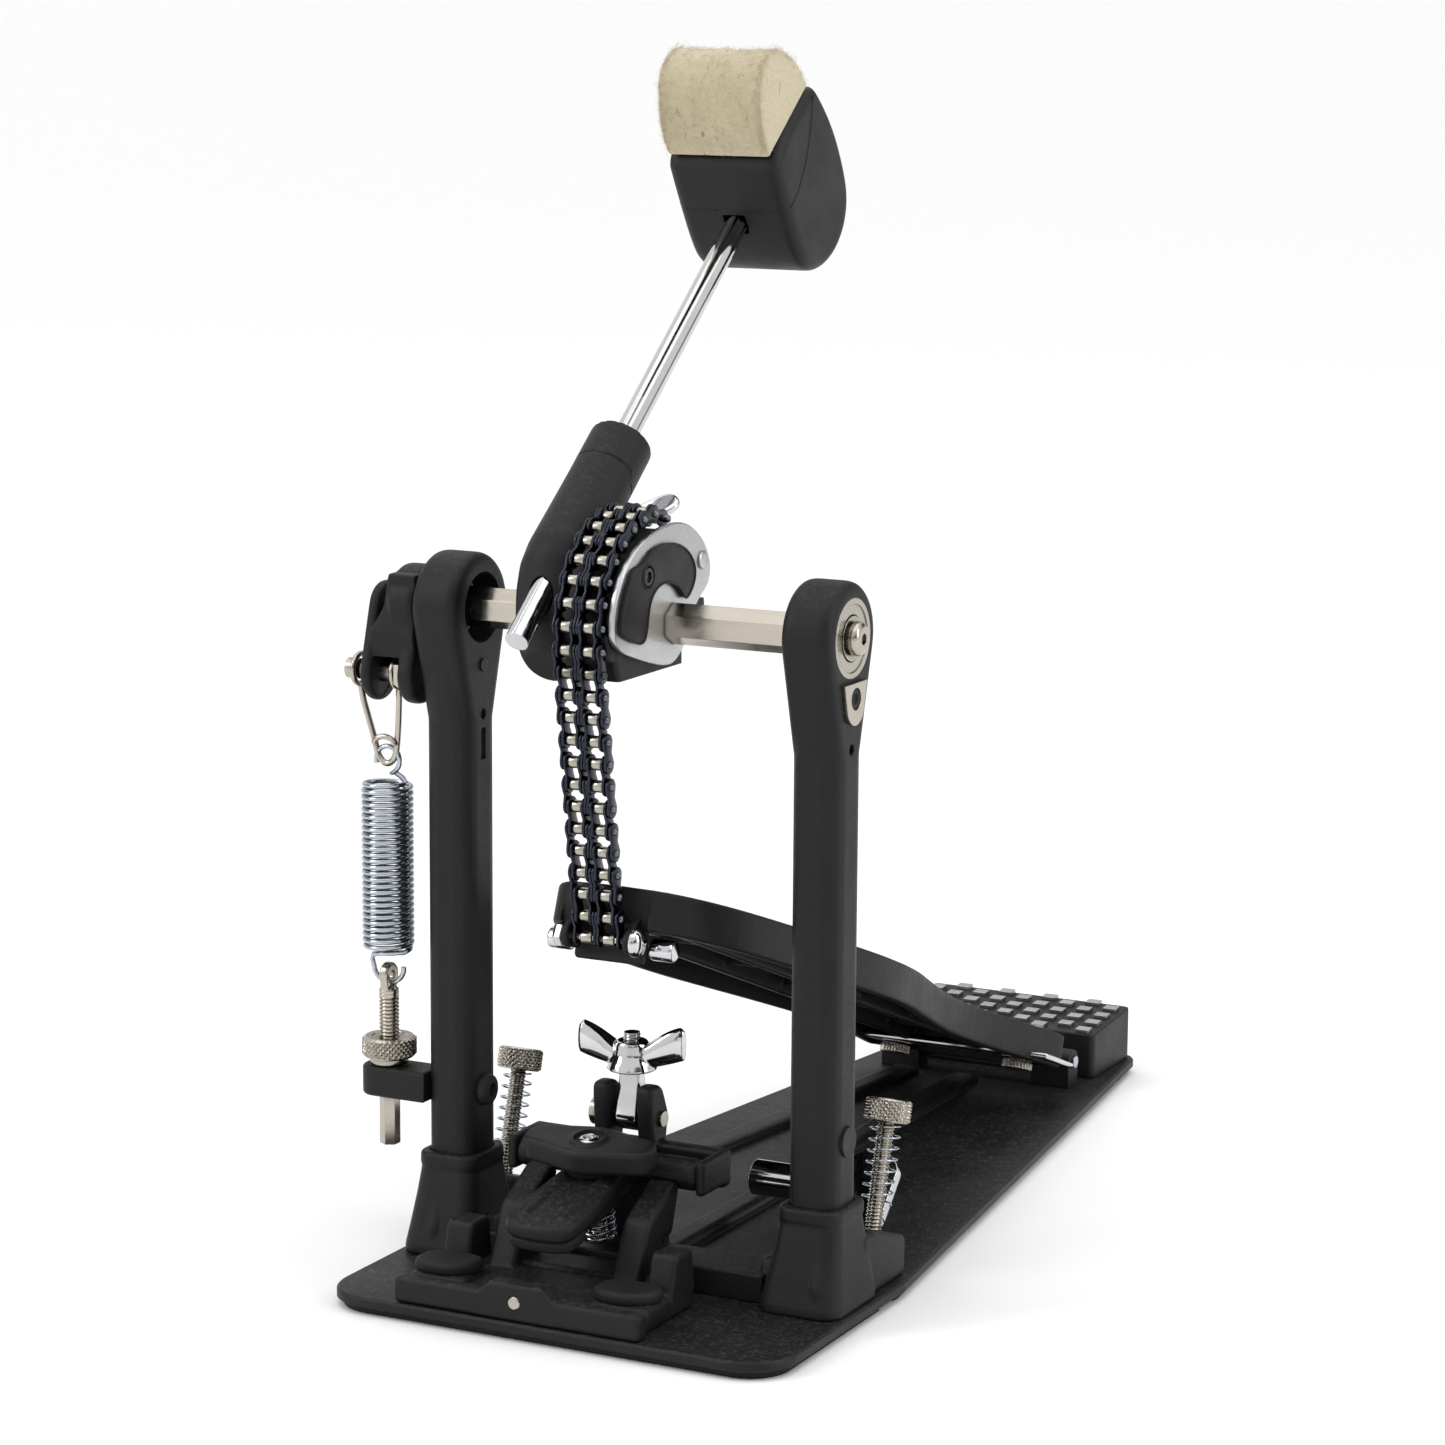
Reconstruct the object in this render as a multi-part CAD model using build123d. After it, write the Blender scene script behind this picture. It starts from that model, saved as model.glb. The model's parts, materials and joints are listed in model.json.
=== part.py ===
"""Bass drum pedal with a chain drive, built as separate pieces.

Frame: +X right, -Y toward the drum, +Y toward the player's heel, +Z up. The origin is on the floor under
the middle of the axle. All sizes are millimetres.
"""
from build123d import *
from math import atan2, cos, degrees, hypot, pi, radians, sin
import os

# ---- driving dimensions ----
AXLE_Z = 192.0
POST_X = 57.5
POST_T = 15.0
POST_D = 17.0
HEAD_R = 15.5
HEX_AF = 10.0
BEARING_OD = 22.0
BEARING_ID = 8.0
BEARING_W = 7.0
BEATER_TILT = 51.0
ROD_R = 3.4
ROD_AHEAD = 21.5
HUB_X = -18.0
PAD_T = 2.2
PLATE_T = 2.8
DECK_Z = PAD_T + PLATE_T
PLATE_FRONT = -57.0
PLATE_REAR = 291.0
PLATE_HALF_FRONT = 71.0
PLATE_HALF_REAR = 38.0
TAPER_START = 27.0
CHAIN_PITCH = 6.35
CAM_Y, CAM_Z = -3.2, -1.0
CAM_R = 31.6
STRAND_X = 3.5
CHAIN_LEAN = 8.2
RUN_PITCHES = 12
WRAP_PITCHES = 9
HINGE_Y, HINGE_Z = 243.0, 13.5
BOARD_SLOPE = 20.9
BOARD_TOP = 7.35
BOARD_LEN = 284.0
CLAMP_X = -8.5
SPUR_X, SPUR_TILT = 60.0, 16.0
SPRING_X = -79.5
LOOP_Z = 150.0
COIL_Z0, COIL_Z1 = 92.0, 139.6
TOE_FACE_Y = -18.6
PIN_Y, PIN_Z, PIN_R = -4.0, -20.0, 3.0
BRACKET_Z = 52.0
SPUR_Y = 28.0
JAW_Z, JAW_DIP = 36.0, 11.7
CLEVIS_Z = 47.0
KEY_Y, KEY_Z = 45.0, 23.2
GAP = 0.3


def save(name, shape):
    """One STEP per piece; a list is a group of separate solids."""
    solids = shape if isinstance(shape, list) else [shape]
    flat = [s for item in solids for s in item.solids()]
    export_step(Compound(label=name, children=flat), f"parts/{name}.step")


def block(x0, x1, y0, y1, z0, z1):
    return Pos((x0 + x1) / 2, (y0 + y1) / 2, (z0 + z1) / 2) * Box(x1 - x0, y1 - y0, z1 - z0)


def rod_x(x0, x1, y, z, r):
    return Pos((x0 + x1) / 2, y, z) * Rot(0, 90, 0) * Cylinder(r, x1 - x0)


def rod_z(x, y, z0, z1, r):
    return Pos(x, y, (z0 + z1) / 2) * Cylinder(r, z1 - z0)


def hex_prism(af, length, turn=0.0):
    return extrude(Rot(0, 0, turn) * RegularPolygon(af / 2, 6, major_radius=False), length)


def hex_x(x0, x1, af):
    """Hexagonal bar along X on the axle line, flats up and down."""
    return Pos(x0, 0, AXLE_Z) * Rot(0, 90, 0) * hex_prism(af, x1 - x0)


def yz_prism(points, x0, x1):
    """Closed outline in (y, z), extruded from x0 to x1."""
    face = make_face(Plane.YZ * Polyline(*points, close=True))
    return Pos(x0, 0, 0) * extrude(face, x1 - x0, dir=(1, 0, 0))


def rounded(shape, axis, radius):
    return fillet(shape.edges().filter_by(axis), radius)


def on_axle(shape):
    """Moves a shape drawn around the origin onto the axle."""
    return Pos(0, 0, AXLE_Z) * shape


def strike_frame(shape):
    """Shapes drawn with the rod upright, about the axle, laid back to the rest angle."""
    return on_axle(Rot(-BEATER_TILT, 0, 0) * shape)


def board_frame(shape):
    """Shapes drawn with the board level, about the heel hinge, raised to the rest slope."""
    return Pos(0, HINGE_Y, HINGE_Z) * Rot(-BOARD_SLOPE, 0, 0) * shape


# ---- base ----
def plate_outline(inset=0.0):
    wf, wr = PLATE_HALF_FRONT - inset, PLATE_HALF_REAR - inset
    y0, y1 = PLATE_FRONT + inset, PLATE_REAR - inset
    corners = [(-wf, y0), (wf, y0), (wf, TAPER_START), (wr, y1), (-wr, y1), (-wf, TAPER_START)]
    line = Polyline(*corners, close=True)
    face = make_face(line)
    corners = face.vertices().sort_by(Axis.Y)
    face = fillet(corners[:2], 14 - inset)
    return fillet(face.vertices().sort_by(Axis.Y)[-2:], 6 - inset)


def ridge(x0, y0, x1, y1, width, height):
    """Embossed rib on the deck, from one point to the other."""
    length, turn = hypot(x1 - x0, y1 - y0), degrees(atan2(y1 - y0, x1 - x0))
    bar = Box(length, width, height + 1)
    bar = fillet(bar.faces().sort_by(Axis.Z)[-1].edges(), height * 0.7)
    return Pos((x0 + x1) / 2, (y0 + y1) / 2, DECK_Z + (height - 1) / 2) * Rot(0, 0, turn) * bar


def base_plate():
    plate = Pos(0, 0, PAD_T) * extrude(plate_outline(), PLATE_T)
    plate = chamfer(plate.faces().sort_by(Axis.Z)[-1].edges(), 0.6)
    return plate + ridge(-46, 40, -21.4, 232, 9, 3.5) + ridge(0, 14, 0, 232, 9, 3.5)


def grip_pads():
    sheet = extrude(plate_outline(2.0), PAD_T)
    front = sheet & block(-90, 90, -70, 14, 0, PAD_T)
    rear = sheet & block(-90, 90, 24, 300, 0, PAD_T)
    return front, rear


def foot(side):
    """Casting that holds a post's lower end and, behind it, a spur."""
    x = side * POST_X
    lower = Pos(x - side * 0.5, -1, DECK_Z) * Rectangle(25, 31)
    upper = Pos(x, 0, 31) * Rectangle(18.5, 20.5)
    body = loft([fillet(lower.vertices(), 6), fillet(upper.vertices(), 5.5)])
    lobe_x0, lobe_x1 = sorted((x - side * 8, x + side * 10.5))
    lobe = yz_prism([(8, DECK_Z), (34, DECK_Z), (34, 17), (12, 23), (8, 23)], lobe_x0, lobe_x1)
    toe = Pos(x, -11, 11) * Sphere(6.5) & block(x - 10, x + 10, -20, 5, DECK_Z, 20)
    collar = rounded(Pos(x, 0, 32) * Box(18.5, 20.5, 4), Axis.Z, 5.5)
    socket = rounded(Pos(x, 0, 26) * Box(POST_T, POST_D, 22), Axis.Z, 5)
    return body + lobe + toe + collar - socket - spur_axis(side, Cylinder(2.6, 60))


def post(side):
    """Upright with an eye for the bearing; the seat opens outward."""
    x = side * POST_X
    eye = rod_x(-POST_T / 2, POST_T / 2, 0, AXLE_Z, HEAD_R)
    reach, waist = 5.0, AXLE_Z - 32
    flank = [(-HEAD_R + 0.4, AXLE_Z - reach + 1), (HEAD_R - 0.4, AXLE_Z - reach + 1),
             (POST_D / 2, waist), (-POST_D / 2, waist)]
    neck = yz_prism(flank, -POST_T / 2, POST_T / 2)
    stem = block(-POST_T / 2, POST_T / 2, -POST_D / 2, POST_D / 2, 15, waist + 1)
    stem = rounded(stem, Axis.Z, 5)
    solid = stem + (neck + eye)
    seat_in, seat_out = sorted((side * (POST_T / 2 - BEARING_W - 0.5), side * (POST_T / 2 + 1)))
    solid -= rod_x(seat_in, seat_out, 0, AXLE_Z, BEARING_OD / 2)
    solid -= rod_x(-POST_T, POST_T, 0, AXLE_Z, 10.2)
    solid -= rod_x(-POST_T, POST_T, 0, AXLE_Z - 30.5, 1.6)
    screw_hole = rod_x(-POST_T, POST_T, 0, BRACKET_Z, 3.4)
    plug_seat = rod_x(POST_T / 2 - 2, POST_T, 0, BRACKET_Z, 4.4)
    solid -= screw_hole if side < 0 else plug_seat
    return Pos(x, 0, 0) * solid


def bearing(side):
    """608 deep-groove bearing: outer ring, inner ring, shields and balls."""
    x1 = side * (POST_X + POST_T / 2)
    lo, hi = sorted((x1, x1 - side * BEARING_W))
    outer = rod_x(lo, hi, 0, AXLE_Z, BEARING_OD / 2) - rod_x(lo, hi, 0, AXLE_Z, 9.4)
    inner = rod_x(lo, hi, 0, AXLE_Z, 6.2) - rod_x(lo, hi, 0, AXLE_Z, BEARING_ID / 2)
    mid = (lo + hi) / 2
    groove = Pos(mid, 0, AXLE_Z) * Rot(0, 90, 0) * Torus(7.8, 2.0)
    shields = [rod_x(a, a + 0.4, 0, AXLE_Z, 9.38) - rod_x(a, a + 0.4, 0, AXLE_Z, 6.5)
               for a in (lo + 0.3, hi - 0.7)]
    balls = [Pos(mid, 7.8 * cos(t), AXLE_Z + 7.8 * sin(t)) * Sphere(1.95)
             for t in (2 * pi * k / 7 for k in range(7))]
    return outer - groove, inner - groove, shields, balls


def retainer():
    """Teardrop plate on the right post's outer face, with its countersunk screw."""
    x0 = POST_X + POST_T / 2
    drop = rod_x(x0, x0 + 1.2, 0, AXLE_Z - 18.5, 5.2)
    drop += yz_prism([(-7.0, AXLE_Z - 12.0), (7.0, AXLE_Z - 12.0), (4.9, AXLE_Z - 20.4),
                      (-4.9, AXLE_Z - 20.4)], x0, x0 + 1.2)
    drop -= rod_x(x0 - 1, x0 + 2, 0, AXLE_Z, 9.6)
    drop -= rod_x(x0 - 1, x0 + 2, 0, AXLE_Z - 16.4, 3.05)
    screw = rod_x(x0, x0 + 1.0, 0, AXLE_Z - 16.4, 3.0)
    screw -= Pos(x0 + 0.4, 0, AXLE_Z - 16.4) * Rot(0, 90, 0) * hex_prism(2.0, 1)
    return drop, screw


def heel_block():
    body = yz_prism([(254.5, DECK_Z), (288, DECK_Z), (288, 22.6), (254.5, 20.2)], -36.5, 36.5)
    return fillet(body.edges().filter_by(Axis.Z), 2.0)


def heel_studs():
    """Raised tread squares in a checker pattern on the heel block."""
    studs, size, pitch = [], 4.6, 8.0
    slope = degrees(atan2(2.4, 33.5))
    for row in range(8):
        for col in range(9):
            if (row + col) % 2:
                continue
            x, y = -32 + col * pitch, 256.8 + row * 4.1
            z = 20.2 + (y - 254.5) * 2.4 / 33.5
            studs.append(Pos(x, y, z + 0.62) * Rot(slope, 0, 0) * Box(size, 3.7, 1.2))
    return studs


# ---- footboard, drawn level about the heel hinge ----
def board_outline(inset=0.0):
    pts = [(12 - inset, -BOARD_LEN + inset), (25 - inset, -272), (36.4 - inset, -243.6), (45.6 - inset, -209),
           (46.5 - inset, -183), (42.5 - inset, -152)]
    heel = (35.2 - inset, -12.5 - inset)
    right = Spline(*pts) + Line(pts[-1], heel)
    left = mirror(right, Plane.YZ)
    toe = Line((-pts[0][0], pts[0][1]), pts[0])
    back = Line(heel, (-heel[0], heel[1]))
    return make_face(Curve() + [right, left, toe, back])


def footboard():
    skin = Pos(0, 0, BOARD_TOP - 12) * extrude(board_outline(), 12)
    hollow = Pos(0, 0, BOARD_TOP - 13) * extrude(board_outline(3.2), 9.2)
    hollow -= block(-20, 20, -290, -262, -20, 20)
    for x in (-14, 14):
        hollow -= block(x - 1.5, x + 1.5, -190, -30, -20, 20)
    board = skin - hollow
    bow = Pos(0, -80, BOARD_TOP - 12 - 116) * Rot(0, 90, 0) * Cylinder(120, 120)
    board -= bow
    board += block(-12, 12, -284, -262, BOARD_TOP - 20, BOARD_TOP - 4)
    toe_cut = block(-20, 20, -60, TOE_FACE_Y, 60, 160)
    return board_frame(board - block(-50, 50, -30, 20, -20, -0.9)) - toe_cut


def hinge_parts():
    """Steel hinge leaf under the board, knuckles on the base, pin through both, and two nuts."""
    leaf = board_frame(block(-36, 36, -28, -3, -3.0, -1.0)
                       + rod_x(-20, 20, 0, 0, 4) - rod_x(-40, 40, 0, 0, 2.05)
                       - block(-40, 40, -4.6, 5, 4.1, 6) - block(-37, -20.3, -4.9, 6, -6, 6)
                       - block(20.3, 37, -4.9, 6, -6, 6))
    knuckles = []
    for x0, x1 in ((-34, -20.5), (20.5, 34)):
        arm = (rod_x(x0, x1, HINGE_Y, HINGE_Z, 4.0)
               + block(x0, x1, HINGE_Y - 4, HINGE_Y + 4, DECK_Z, HINGE_Z))
        knuckles.append(arm - rod_x(x0 - 1, x1 + 1, HINGE_Y, HINGE_Z, 2.0))
    pin = rod_x(-35, 35, HINGE_Y, HINGE_Z, 2.0)
    nuts = [board_frame(Pos(x, -17, -6.5) * hex_prism(9, 3.5)) for x in (-22, 22)]
    return leaf, knuckles, pin, nuts


def chain_clamp():
    """Block under the toe that grips the chain's last link, and its cross bolt."""
    y, z = TOE_FACE_Y - 3.6, 96.5
    jaws = (block(-11.5, 11.5, TOE_FACE_Y - 7, TOE_FACE_Y, 92.5, 106)
            - block(-8.4, 8.4, TOE_FACE_Y - 8, 0, 99.5, 107))
    bolt = rod_x(-12.5, 12.5, y, z, 2.0) + rod_x(11.5, 15.5, y, z, 3.6)
    return jaws - rod_x(-20, 20, y, z, 2.0), bolt


# ---- drive ----
def hex_shaft():
    """Hexagonal axle with turned journals for the bearings and a stub for the rocker."""
    inner = POST_X + POST_T / 2 - BEARING_W
    bar = hex_x(-inner + 0.4, inner - 0.4, HEX_AF)
    journal = rod_x(-POST_X - POST_T / 2 - 1.0, POST_X + POST_T / 2 + 0.6, 0, AXLE_Z, BEARING_ID / 2 - 0.01)
    stub = hex_x(-POST_X - POST_T / 2 - 15, -POST_X - POST_T / 2 - 1.0, 7.0)
    return bar + journal + stub - rod_x(POST_X - 2, POST_X + 12, 0, AXLE_Z, 2.5)


def shaft_screw():
    x0 = POST_X + POST_T / 2 + 0.7
    head = rod_x(x0, x0 + 2.6, 0, AXLE_Z, 4.7)
    head = fillet(head.edges().sort_by(Axis.X)[-1], 1.8)
    shank = rod_x(x0 - 8, x0, 0, AXLE_Z, 2.49)
    return head + shank - Pos(x0 + 1.4, 0, AXLE_Z) * Rot(0, 90, 0) * hex_prism(3.0, 3)


def hub():
    """Beater hub: a barrel around the rod joined to a boss on the axle, with the memory collar on top."""
    barrel = Pos(HUB_X, -ROD_AHEAD, 11) * Cylinder(9.2, 54)
    boss = rod_x(HUB_X - 8.7, HUB_X + 8.7, 0, 0, 13.0)
    web = yz_prism([(-ROD_AHEAD, -14), (-ROD_AHEAD, 26), (-4, 14), (2, 0), (0, -13), (-10, -16)],
                   HUB_X - 8.7, HUB_X + 8.7)
    body = barrel + boss + web
    body -= Pos(HUB_X, -ROD_AHEAD, 11) * Cylinder(ROD_R + 0.05, 80)
    body -= Rot(0, 90, 0) * Pos(0, 0, HUB_X - 12) * hex_prism(HEX_AF + 0.04, 24, BEATER_TILT)
    body -= Pos(HUB_X, -ROD_AHEAD + 12, 30) * Rot(90, 0, 0) * Cylinder(2.54, 30)
    cap = Pos(HUB_X, -ROD_AHEAD, 42.3) * Cylinder(9.2, 8.4)
    cap = fillet(cap.faces().sort_by(Axis.Z)[-1].edges(), 2.5)
    cap -= Pos(HUB_X, -ROD_AHEAD, 40) * Cylinder(ROD_R + 0.05, 30)
    return strike_frame(body), strike_frame(cap)


def hub_screw():
    """Wing screw behind the barrel that grips the rod."""
    y0 = -ROD_AHEAD + ROD_R
    shank = Pos(HUB_X, y0 + 7.2, 30) * Rot(90, 0, 0) * Cylinder(2.49, 14)
    head = Pos(HUB_X, y0 + 12, 30) * Rot(90, 0, 0) * Cylinder(4.2, 5)
    wing = Pos(HUB_X, y0 + 14.5, 30) * Box(6, 2.6, 17)
    return strike_frame(shank + head + fillet(wing.edges().filter_by(Axis.Y), 2.9))


def sector(radius, start, end, x0, x1):
    """Slice of a disc about the cam centre, from one angle to the other, counted from +Y toward +Z."""
    steps = 24
    arc = [(CAM_Y + radius * cos(radians(start + (end - start) * k / steps)),
            CAM_Z + radius * sin(radians(start + (end - start) * k / steps))) for k in range(steps + 1)]
    return yz_prism([(6, -9)] + [(14, 2)] + arc, x0, x1)


def cam():
    """Chain cam with its pad, the plated side disc, the crescent inlay and two screws."""
    bore = Rot(0, 90, 0) * Pos(0, 0, -9) * hex_prism(HEX_AF + 0.04, 24)
    body = sector(CAM_R - 3.1, 42, 188, -8.6, 8.4) + rod_x(-8.6, 8.4, 0, 0, 10.5)
    body -= bore
    plate = sector(CAM_R - 4.4, 40, 186, 8.4, 10.2) + rod_x(8.4, 10.2, 0, 0, 11)
    plate -= bore
    crescent = rod_x(10.2, 11.4, 0, 0, 21.8) - rod_x(10, 12, 0, 0, 11.8)
    crescent &= yz_prism([(0, 0), (26, 10), (20, 24), (-24, 24), (-30, -3), (-8, -6)], 9, 13)
    holes = [(-16.5, 5.0), (9.5, 14.5)]
    screws = []
    for y, z in holes:
        crescent -= rod_x(9, 13, y, z, 2.5)
        screws.append(on_axle(rod_x(10.2, 11.2, y, z, 2.45)
                              - Pos(10.8, y, z) * Rot(0, 90, 0) * hex_prism(1.8, 1)))
    return on_axle(body), on_axle(plate), on_axle(crescent), screws


def beater():
    """Rod, plastic head with rounded back, and the felt block on the striking side."""
    rod = Pos(HUB_X, -ROD_AHEAD, 70) * Cylinder(ROD_R, 200)
    front = -ROD_AHEAD - 24
    base = 141
    pts = [(front, base), (front + 20, base - 3), (front + 39, base - 4), (front + 47, base + 2),
           (front + 52, base + 16), (front + 47, base + 31), (front + 36, base + 35), (front + 22, base + 37),
           (front + 5, base + 34), (front, base + 32)]
    face = make_face(Plane.YZ * Polyline(*pts, close=True))
    head = extrude(face, 19, dir=(1, 0, 0), both=True)
    head = fillet(head.edges().filter_by(GeomType.LINE).filter_by(Axis.X), 3.5)
    head = Pos(HUB_X, 0, 0) * head
    head -= Pos(HUB_X, -ROD_AHEAD, base + 10) * Cylinder(ROD_R + 0.05, 38.2)
    felt_pts = [(front, base), (front - 12, base + 2), (front - 20, base + 9), (front - 22, base + 16),
                (front - 20, base + 23), (front - 12, base + 30), (front, base + 32)]
    half = Plane.YZ * (Spline(*felt_pts) + Line(felt_pts[-1], felt_pts[0]))
    felt = Pos(HUB_X, 0, 0) * extrude(make_face(half), 16.5, dir=(1, 0, 0), both=True)
    return strike_frame(rod), strike_frame(head), strike_frame(felt)


# ---- chain ----
def link_plates(length_from, points):
    """Side plates, rollers and pins along a list of (y, z) pins, fused into one strip."""
    strip = None
    for (y0, z0), (y1, z1) in zip(points, points[1:]):
        k = points.index((y0, z0)) + length_from
        turn, mid = degrees(atan2(z1 - z0, y1 - y0)), ((y0 + y1) / 2, (z0 + z1) / 2)
        half = SlotCenterToCenter(CHAIN_PITCH, 5.1 if k % 2 else 5.6)
        for strand in (-STRAND_X, STRAND_X):
            offset = 2.85 if k % 2 else 2.15
            for x in (strand - offset, strand + offset):
                plate = extrude(half, 0.8)
                upright = Rot(0, 90, 0) * Rot(0, 0, 90) * plate
                plate = Pos(x - 0.4, mid[0], mid[1]) * Rot(turn, 0, 0) * upright
                strip = plate if strip is None else strip + plate
    for y, z in points:
        strip += rod_x(-STRAND_X - 4.0, STRAND_X + 4.0, y, z, 1.65)
    return strip


def chain():
    """The part of the double roller chain on the cam, and the straight run down to the toe of the board."""
    step = degrees(2 * (CHAIN_PITCH / 2) / CAM_R)
    first = 180 + CHAIN_LEAN
    angles = [radians(first - 6 - step * k) for k in range(WRAP_PITCHES + 1)]
    wrap = [(CAM_Y + CAM_R * cos(a), AXLE_Z + CAM_Z + CAM_R * sin(a)) for a in angles]
    top_y = CAM_Y + CAM_R * cos(radians(first))
    top_z = AXLE_Z + CAM_Z + CAM_R * sin(radians(first))
    run = [(top_y + (4.4 + CHAIN_PITCH * k) * sin(radians(CHAIN_LEAN)),
            top_z - (4.4 + CHAIN_PITCH * k) * cos(radians(CHAIN_LEAN))) for k in range(RUN_PITCHES + 1)]
    return link_plates(0, wrap), link_plates(1, run)


# ---- spring side ----
def rocker():
    """Arm on the axle's left end; its pin carries the stirrup."""
    x1 = -POST_X - POST_T / 2 - 1.2
    x0 = x1 - 17.5
    arm = rod_x(x0, x1, 0, 0, 11.0) + rod_x(x0, x1, PIN_Y, PIN_Z, 8.5)
    arm += yz_prism([(-10.8, -2), (10.6, -3), (4.9, -20), (-12.3, -18)], x0, x1)
    arm -= rod_x(x0 + 5, x1 - 5, PIN_Y, PIN_Z, 9) & block(x0, x1, -20, 20, -40, -12.5)
    arm -= Rot(0, 90, 0) * Pos(0, 0, x0 - 1) * hex_prism(7.04, 20)
    arm -= rod_x(x0 - 1, x1 + 1, PIN_Y, PIN_Z, PIN_R)
    pin = rod_x(x0 - 8, x1 - 0.4, PIN_Y, PIN_Z, PIN_R)
    pin += Pos(x1 - 5.1, PIN_Y, PIN_Z) * Rot(0, -90, 0) * hex_prism(9.5, 3)
    return on_axle(arm), on_axle(pin)


def wire(points, radius):
    """Round wire bent along a smooth path."""
    path = Spline(*points)
    return sweep(Plane(origin=path @ 0, z_dir=path % 0) * Circle(radius), path=path)


def stirrup():
    """Wire yoke with an eye on each side of the rocker and a loop for the spring's hook."""
    left, right, top = SPRING_X - 8.6, SPRING_X + 4.2, AXLE_Z + PIN_Z
    eyes = None
    for x in (left, right):
        ring = rod_x(x - 0.9, x + 0.9, PIN_Y, top, PIN_R + 2.2)
        ring -= rod_x(x - 1, x + 1, PIN_Y, top, PIN_R + GAP)
        eyes = ring if eyes is None else eyes + ring
    loop = Pos(SPRING_X, PIN_Y, LOOP_Z) * Rot(90, 0, 0) * Torus(4.4, 1.0)
    left_leg = [(left, PIN_Y, top - 4.4), (left + 3.2, PIN_Y, top - 12), (SPRING_X - 3.6, PIN_Y, LOOP_Z + 2.5)]
    right_leg = [(right, PIN_Y, top - 4.4), (right - 0.2, PIN_Y, top - 12), (SPRING_X + 3.6, PIN_Y, LOOP_Z + 2.5)]
    legs = wire(left_leg, 0.9) + wire(right_leg, 0.9)
    return eyes + loop + legs


def ring_hook(z, side):
    """End hook of the spring: the wire crosses to the middle and closes in a ring."""
    ring = Pos(SPRING_X, PIN_Y, z + side * 4.5) * Rot(0, 90, 0) * Torus(3.9, 0.8)
    return ring + rod_x(SPRING_X, SPRING_X + 5.6, PIN_Y, z + side * 0.6, 0.75)


def extension_spring():
    """Close-wound coil with its lower hook, and the upper hook that rises as the coil stretches."""
    height = COIL_Z1 - COIL_Z0
    path = Pos(SPRING_X, PIN_Y, COIL_Z0) * Helix(pitch=height / 23, height=height, radius=6.9)
    coil = sweep(Plane(origin=path @ 0, z_dir=path % 0) * Circle(0.85), path=path)
    tail = rod_x(SPRING_X + 3, SPRING_X + 6.9, PIN_Y, COIL_Z0 - 0.3, 0.8)
    return coil + ring_hook(COIL_Z0, -1) + tail, ring_hook(COIL_Z1, 1)


def tension():
    """Threaded rod with an eye, its knurled nut and the bracket arm it passes through."""
    eye = Pos(SPRING_X, PIN_Y, 82.4) * Rot(90, 0, 0) * Torus(3.4, 1.3)
    stem = rod_z(SPRING_X, PIN_Y, 49, 79.6, 3.0)
    tail = Pos(SPRING_X, PIN_Y, 33) * hex_prism(5.0, 16.4)
    nut = rod_z(SPRING_X, PIN_Y, 59.3, 65.3, 8.0) + rod_z(SPRING_X, PIN_Y, 57.3, 59.3, 5.6)
    nut -= rod_z(SPRING_X, PIN_Y, 50, 70, 3.04)
    x1 = -POST_X - POST_T / 2
    arm = block(SPRING_X - 7.5, x1, PIN_Y - 6, PIN_Y + 6, 48, 57)
    arm = fillet(arm.edges().filter_by(Axis.Z).sort_by(Axis.X)[:2], 5.5)
    arm -= rod_z(SPRING_X, PIN_Y, 40, 60, 3.04)
    return eye + stem + tail, nut, arm


def bracket_screw():
    """Socket screw through the left post that holds the bracket arm."""
    inner = -POST_X + POST_T / 2
    screw = rod_x(inner, inner + 2.6, 0, BRACKET_Z, 4.6) + rod_x(inner - POST_T, inner, 0, BRACKET_Z, 3.35)
    return screw - Pos(inner + 1, 0, BRACKET_Z) * Rot(0, 90, 0) * hex_prism(3, 3)


# ---- spurs ----
def spur_axis(side, shape):
    """Moves a shape drawn along Z onto a spur's leaning axis."""
    return Pos(side * SPUR_X, SPUR_Y, 16) * Rot(-SPUR_TILT, 0, 0) * shape


def spur(side):
    shank = rod_z(0, 0, -10, 34, 2.5)
    tip = Pos(0, 0, -12.4) * Cone(0.4, 2.5, 5)
    head = rod_z(0, 0, 33, 39.5, 6.7)
    return spur_axis(side, shank + tip + head)


def spur_spring(side):
    path = Pos(0, 0, 9.5) * Helix(pitch=3.2, height=22.5, radius=4.3)
    return spur_axis(side, sweep(Plane(origin=path @ 0, z_dir=path % 0) * Circle(0.4), path=path))


# ---- hoop clamp ----
def clamp_base():
    """Lower jaw: tray with a front lip, two ears and two arms that rise to the jaw's pivot bar."""
    x0, x1 = CLAMP_X - 38.5, CLAMP_X + 38.5
    body = block(x0, x1, -56, -50.5, DECK_Z, 12.5) + block(x0 + 1.5, x1 - 1.5, -50.5, -20, DECK_Z, 11.5)
    body += block(CLAMP_X - 26, CLAMP_X + 30, -20, -10.3, DECK_Z, 11.5)
    body += block(CLAMP_X - 8.5, CLAMP_X + 8.5, -56, -50.5, DECK_Z, 15.5)
    ear = [(-34, 11), (-30, 22), (-20.5, 22), (-20.5, 11)]
    body += yz_prism(ear, x0 + 2.5, x0 + 11) + yz_prism(ear, x1 - 9, x1 - 1.5)
    arm = [(-30, 11), (-20, 22), (-6, 33.5), (4, 31.2), (-3, 24), (-10.3, 13.2), (-10.3, 11)]
    for ax in (CLAMP_X - 22, CLAMP_X + 17):
        body += yz_prism(arm, ax, ax + 5.5)
    body -= rod_x(x0, x1, 0, JAW_Z, 4.7)
    return body - Pos(CLAMP_X, -53.5, 10.5) * Rot(90, 0, 0) * Cylinder(1.9, 8)


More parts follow.
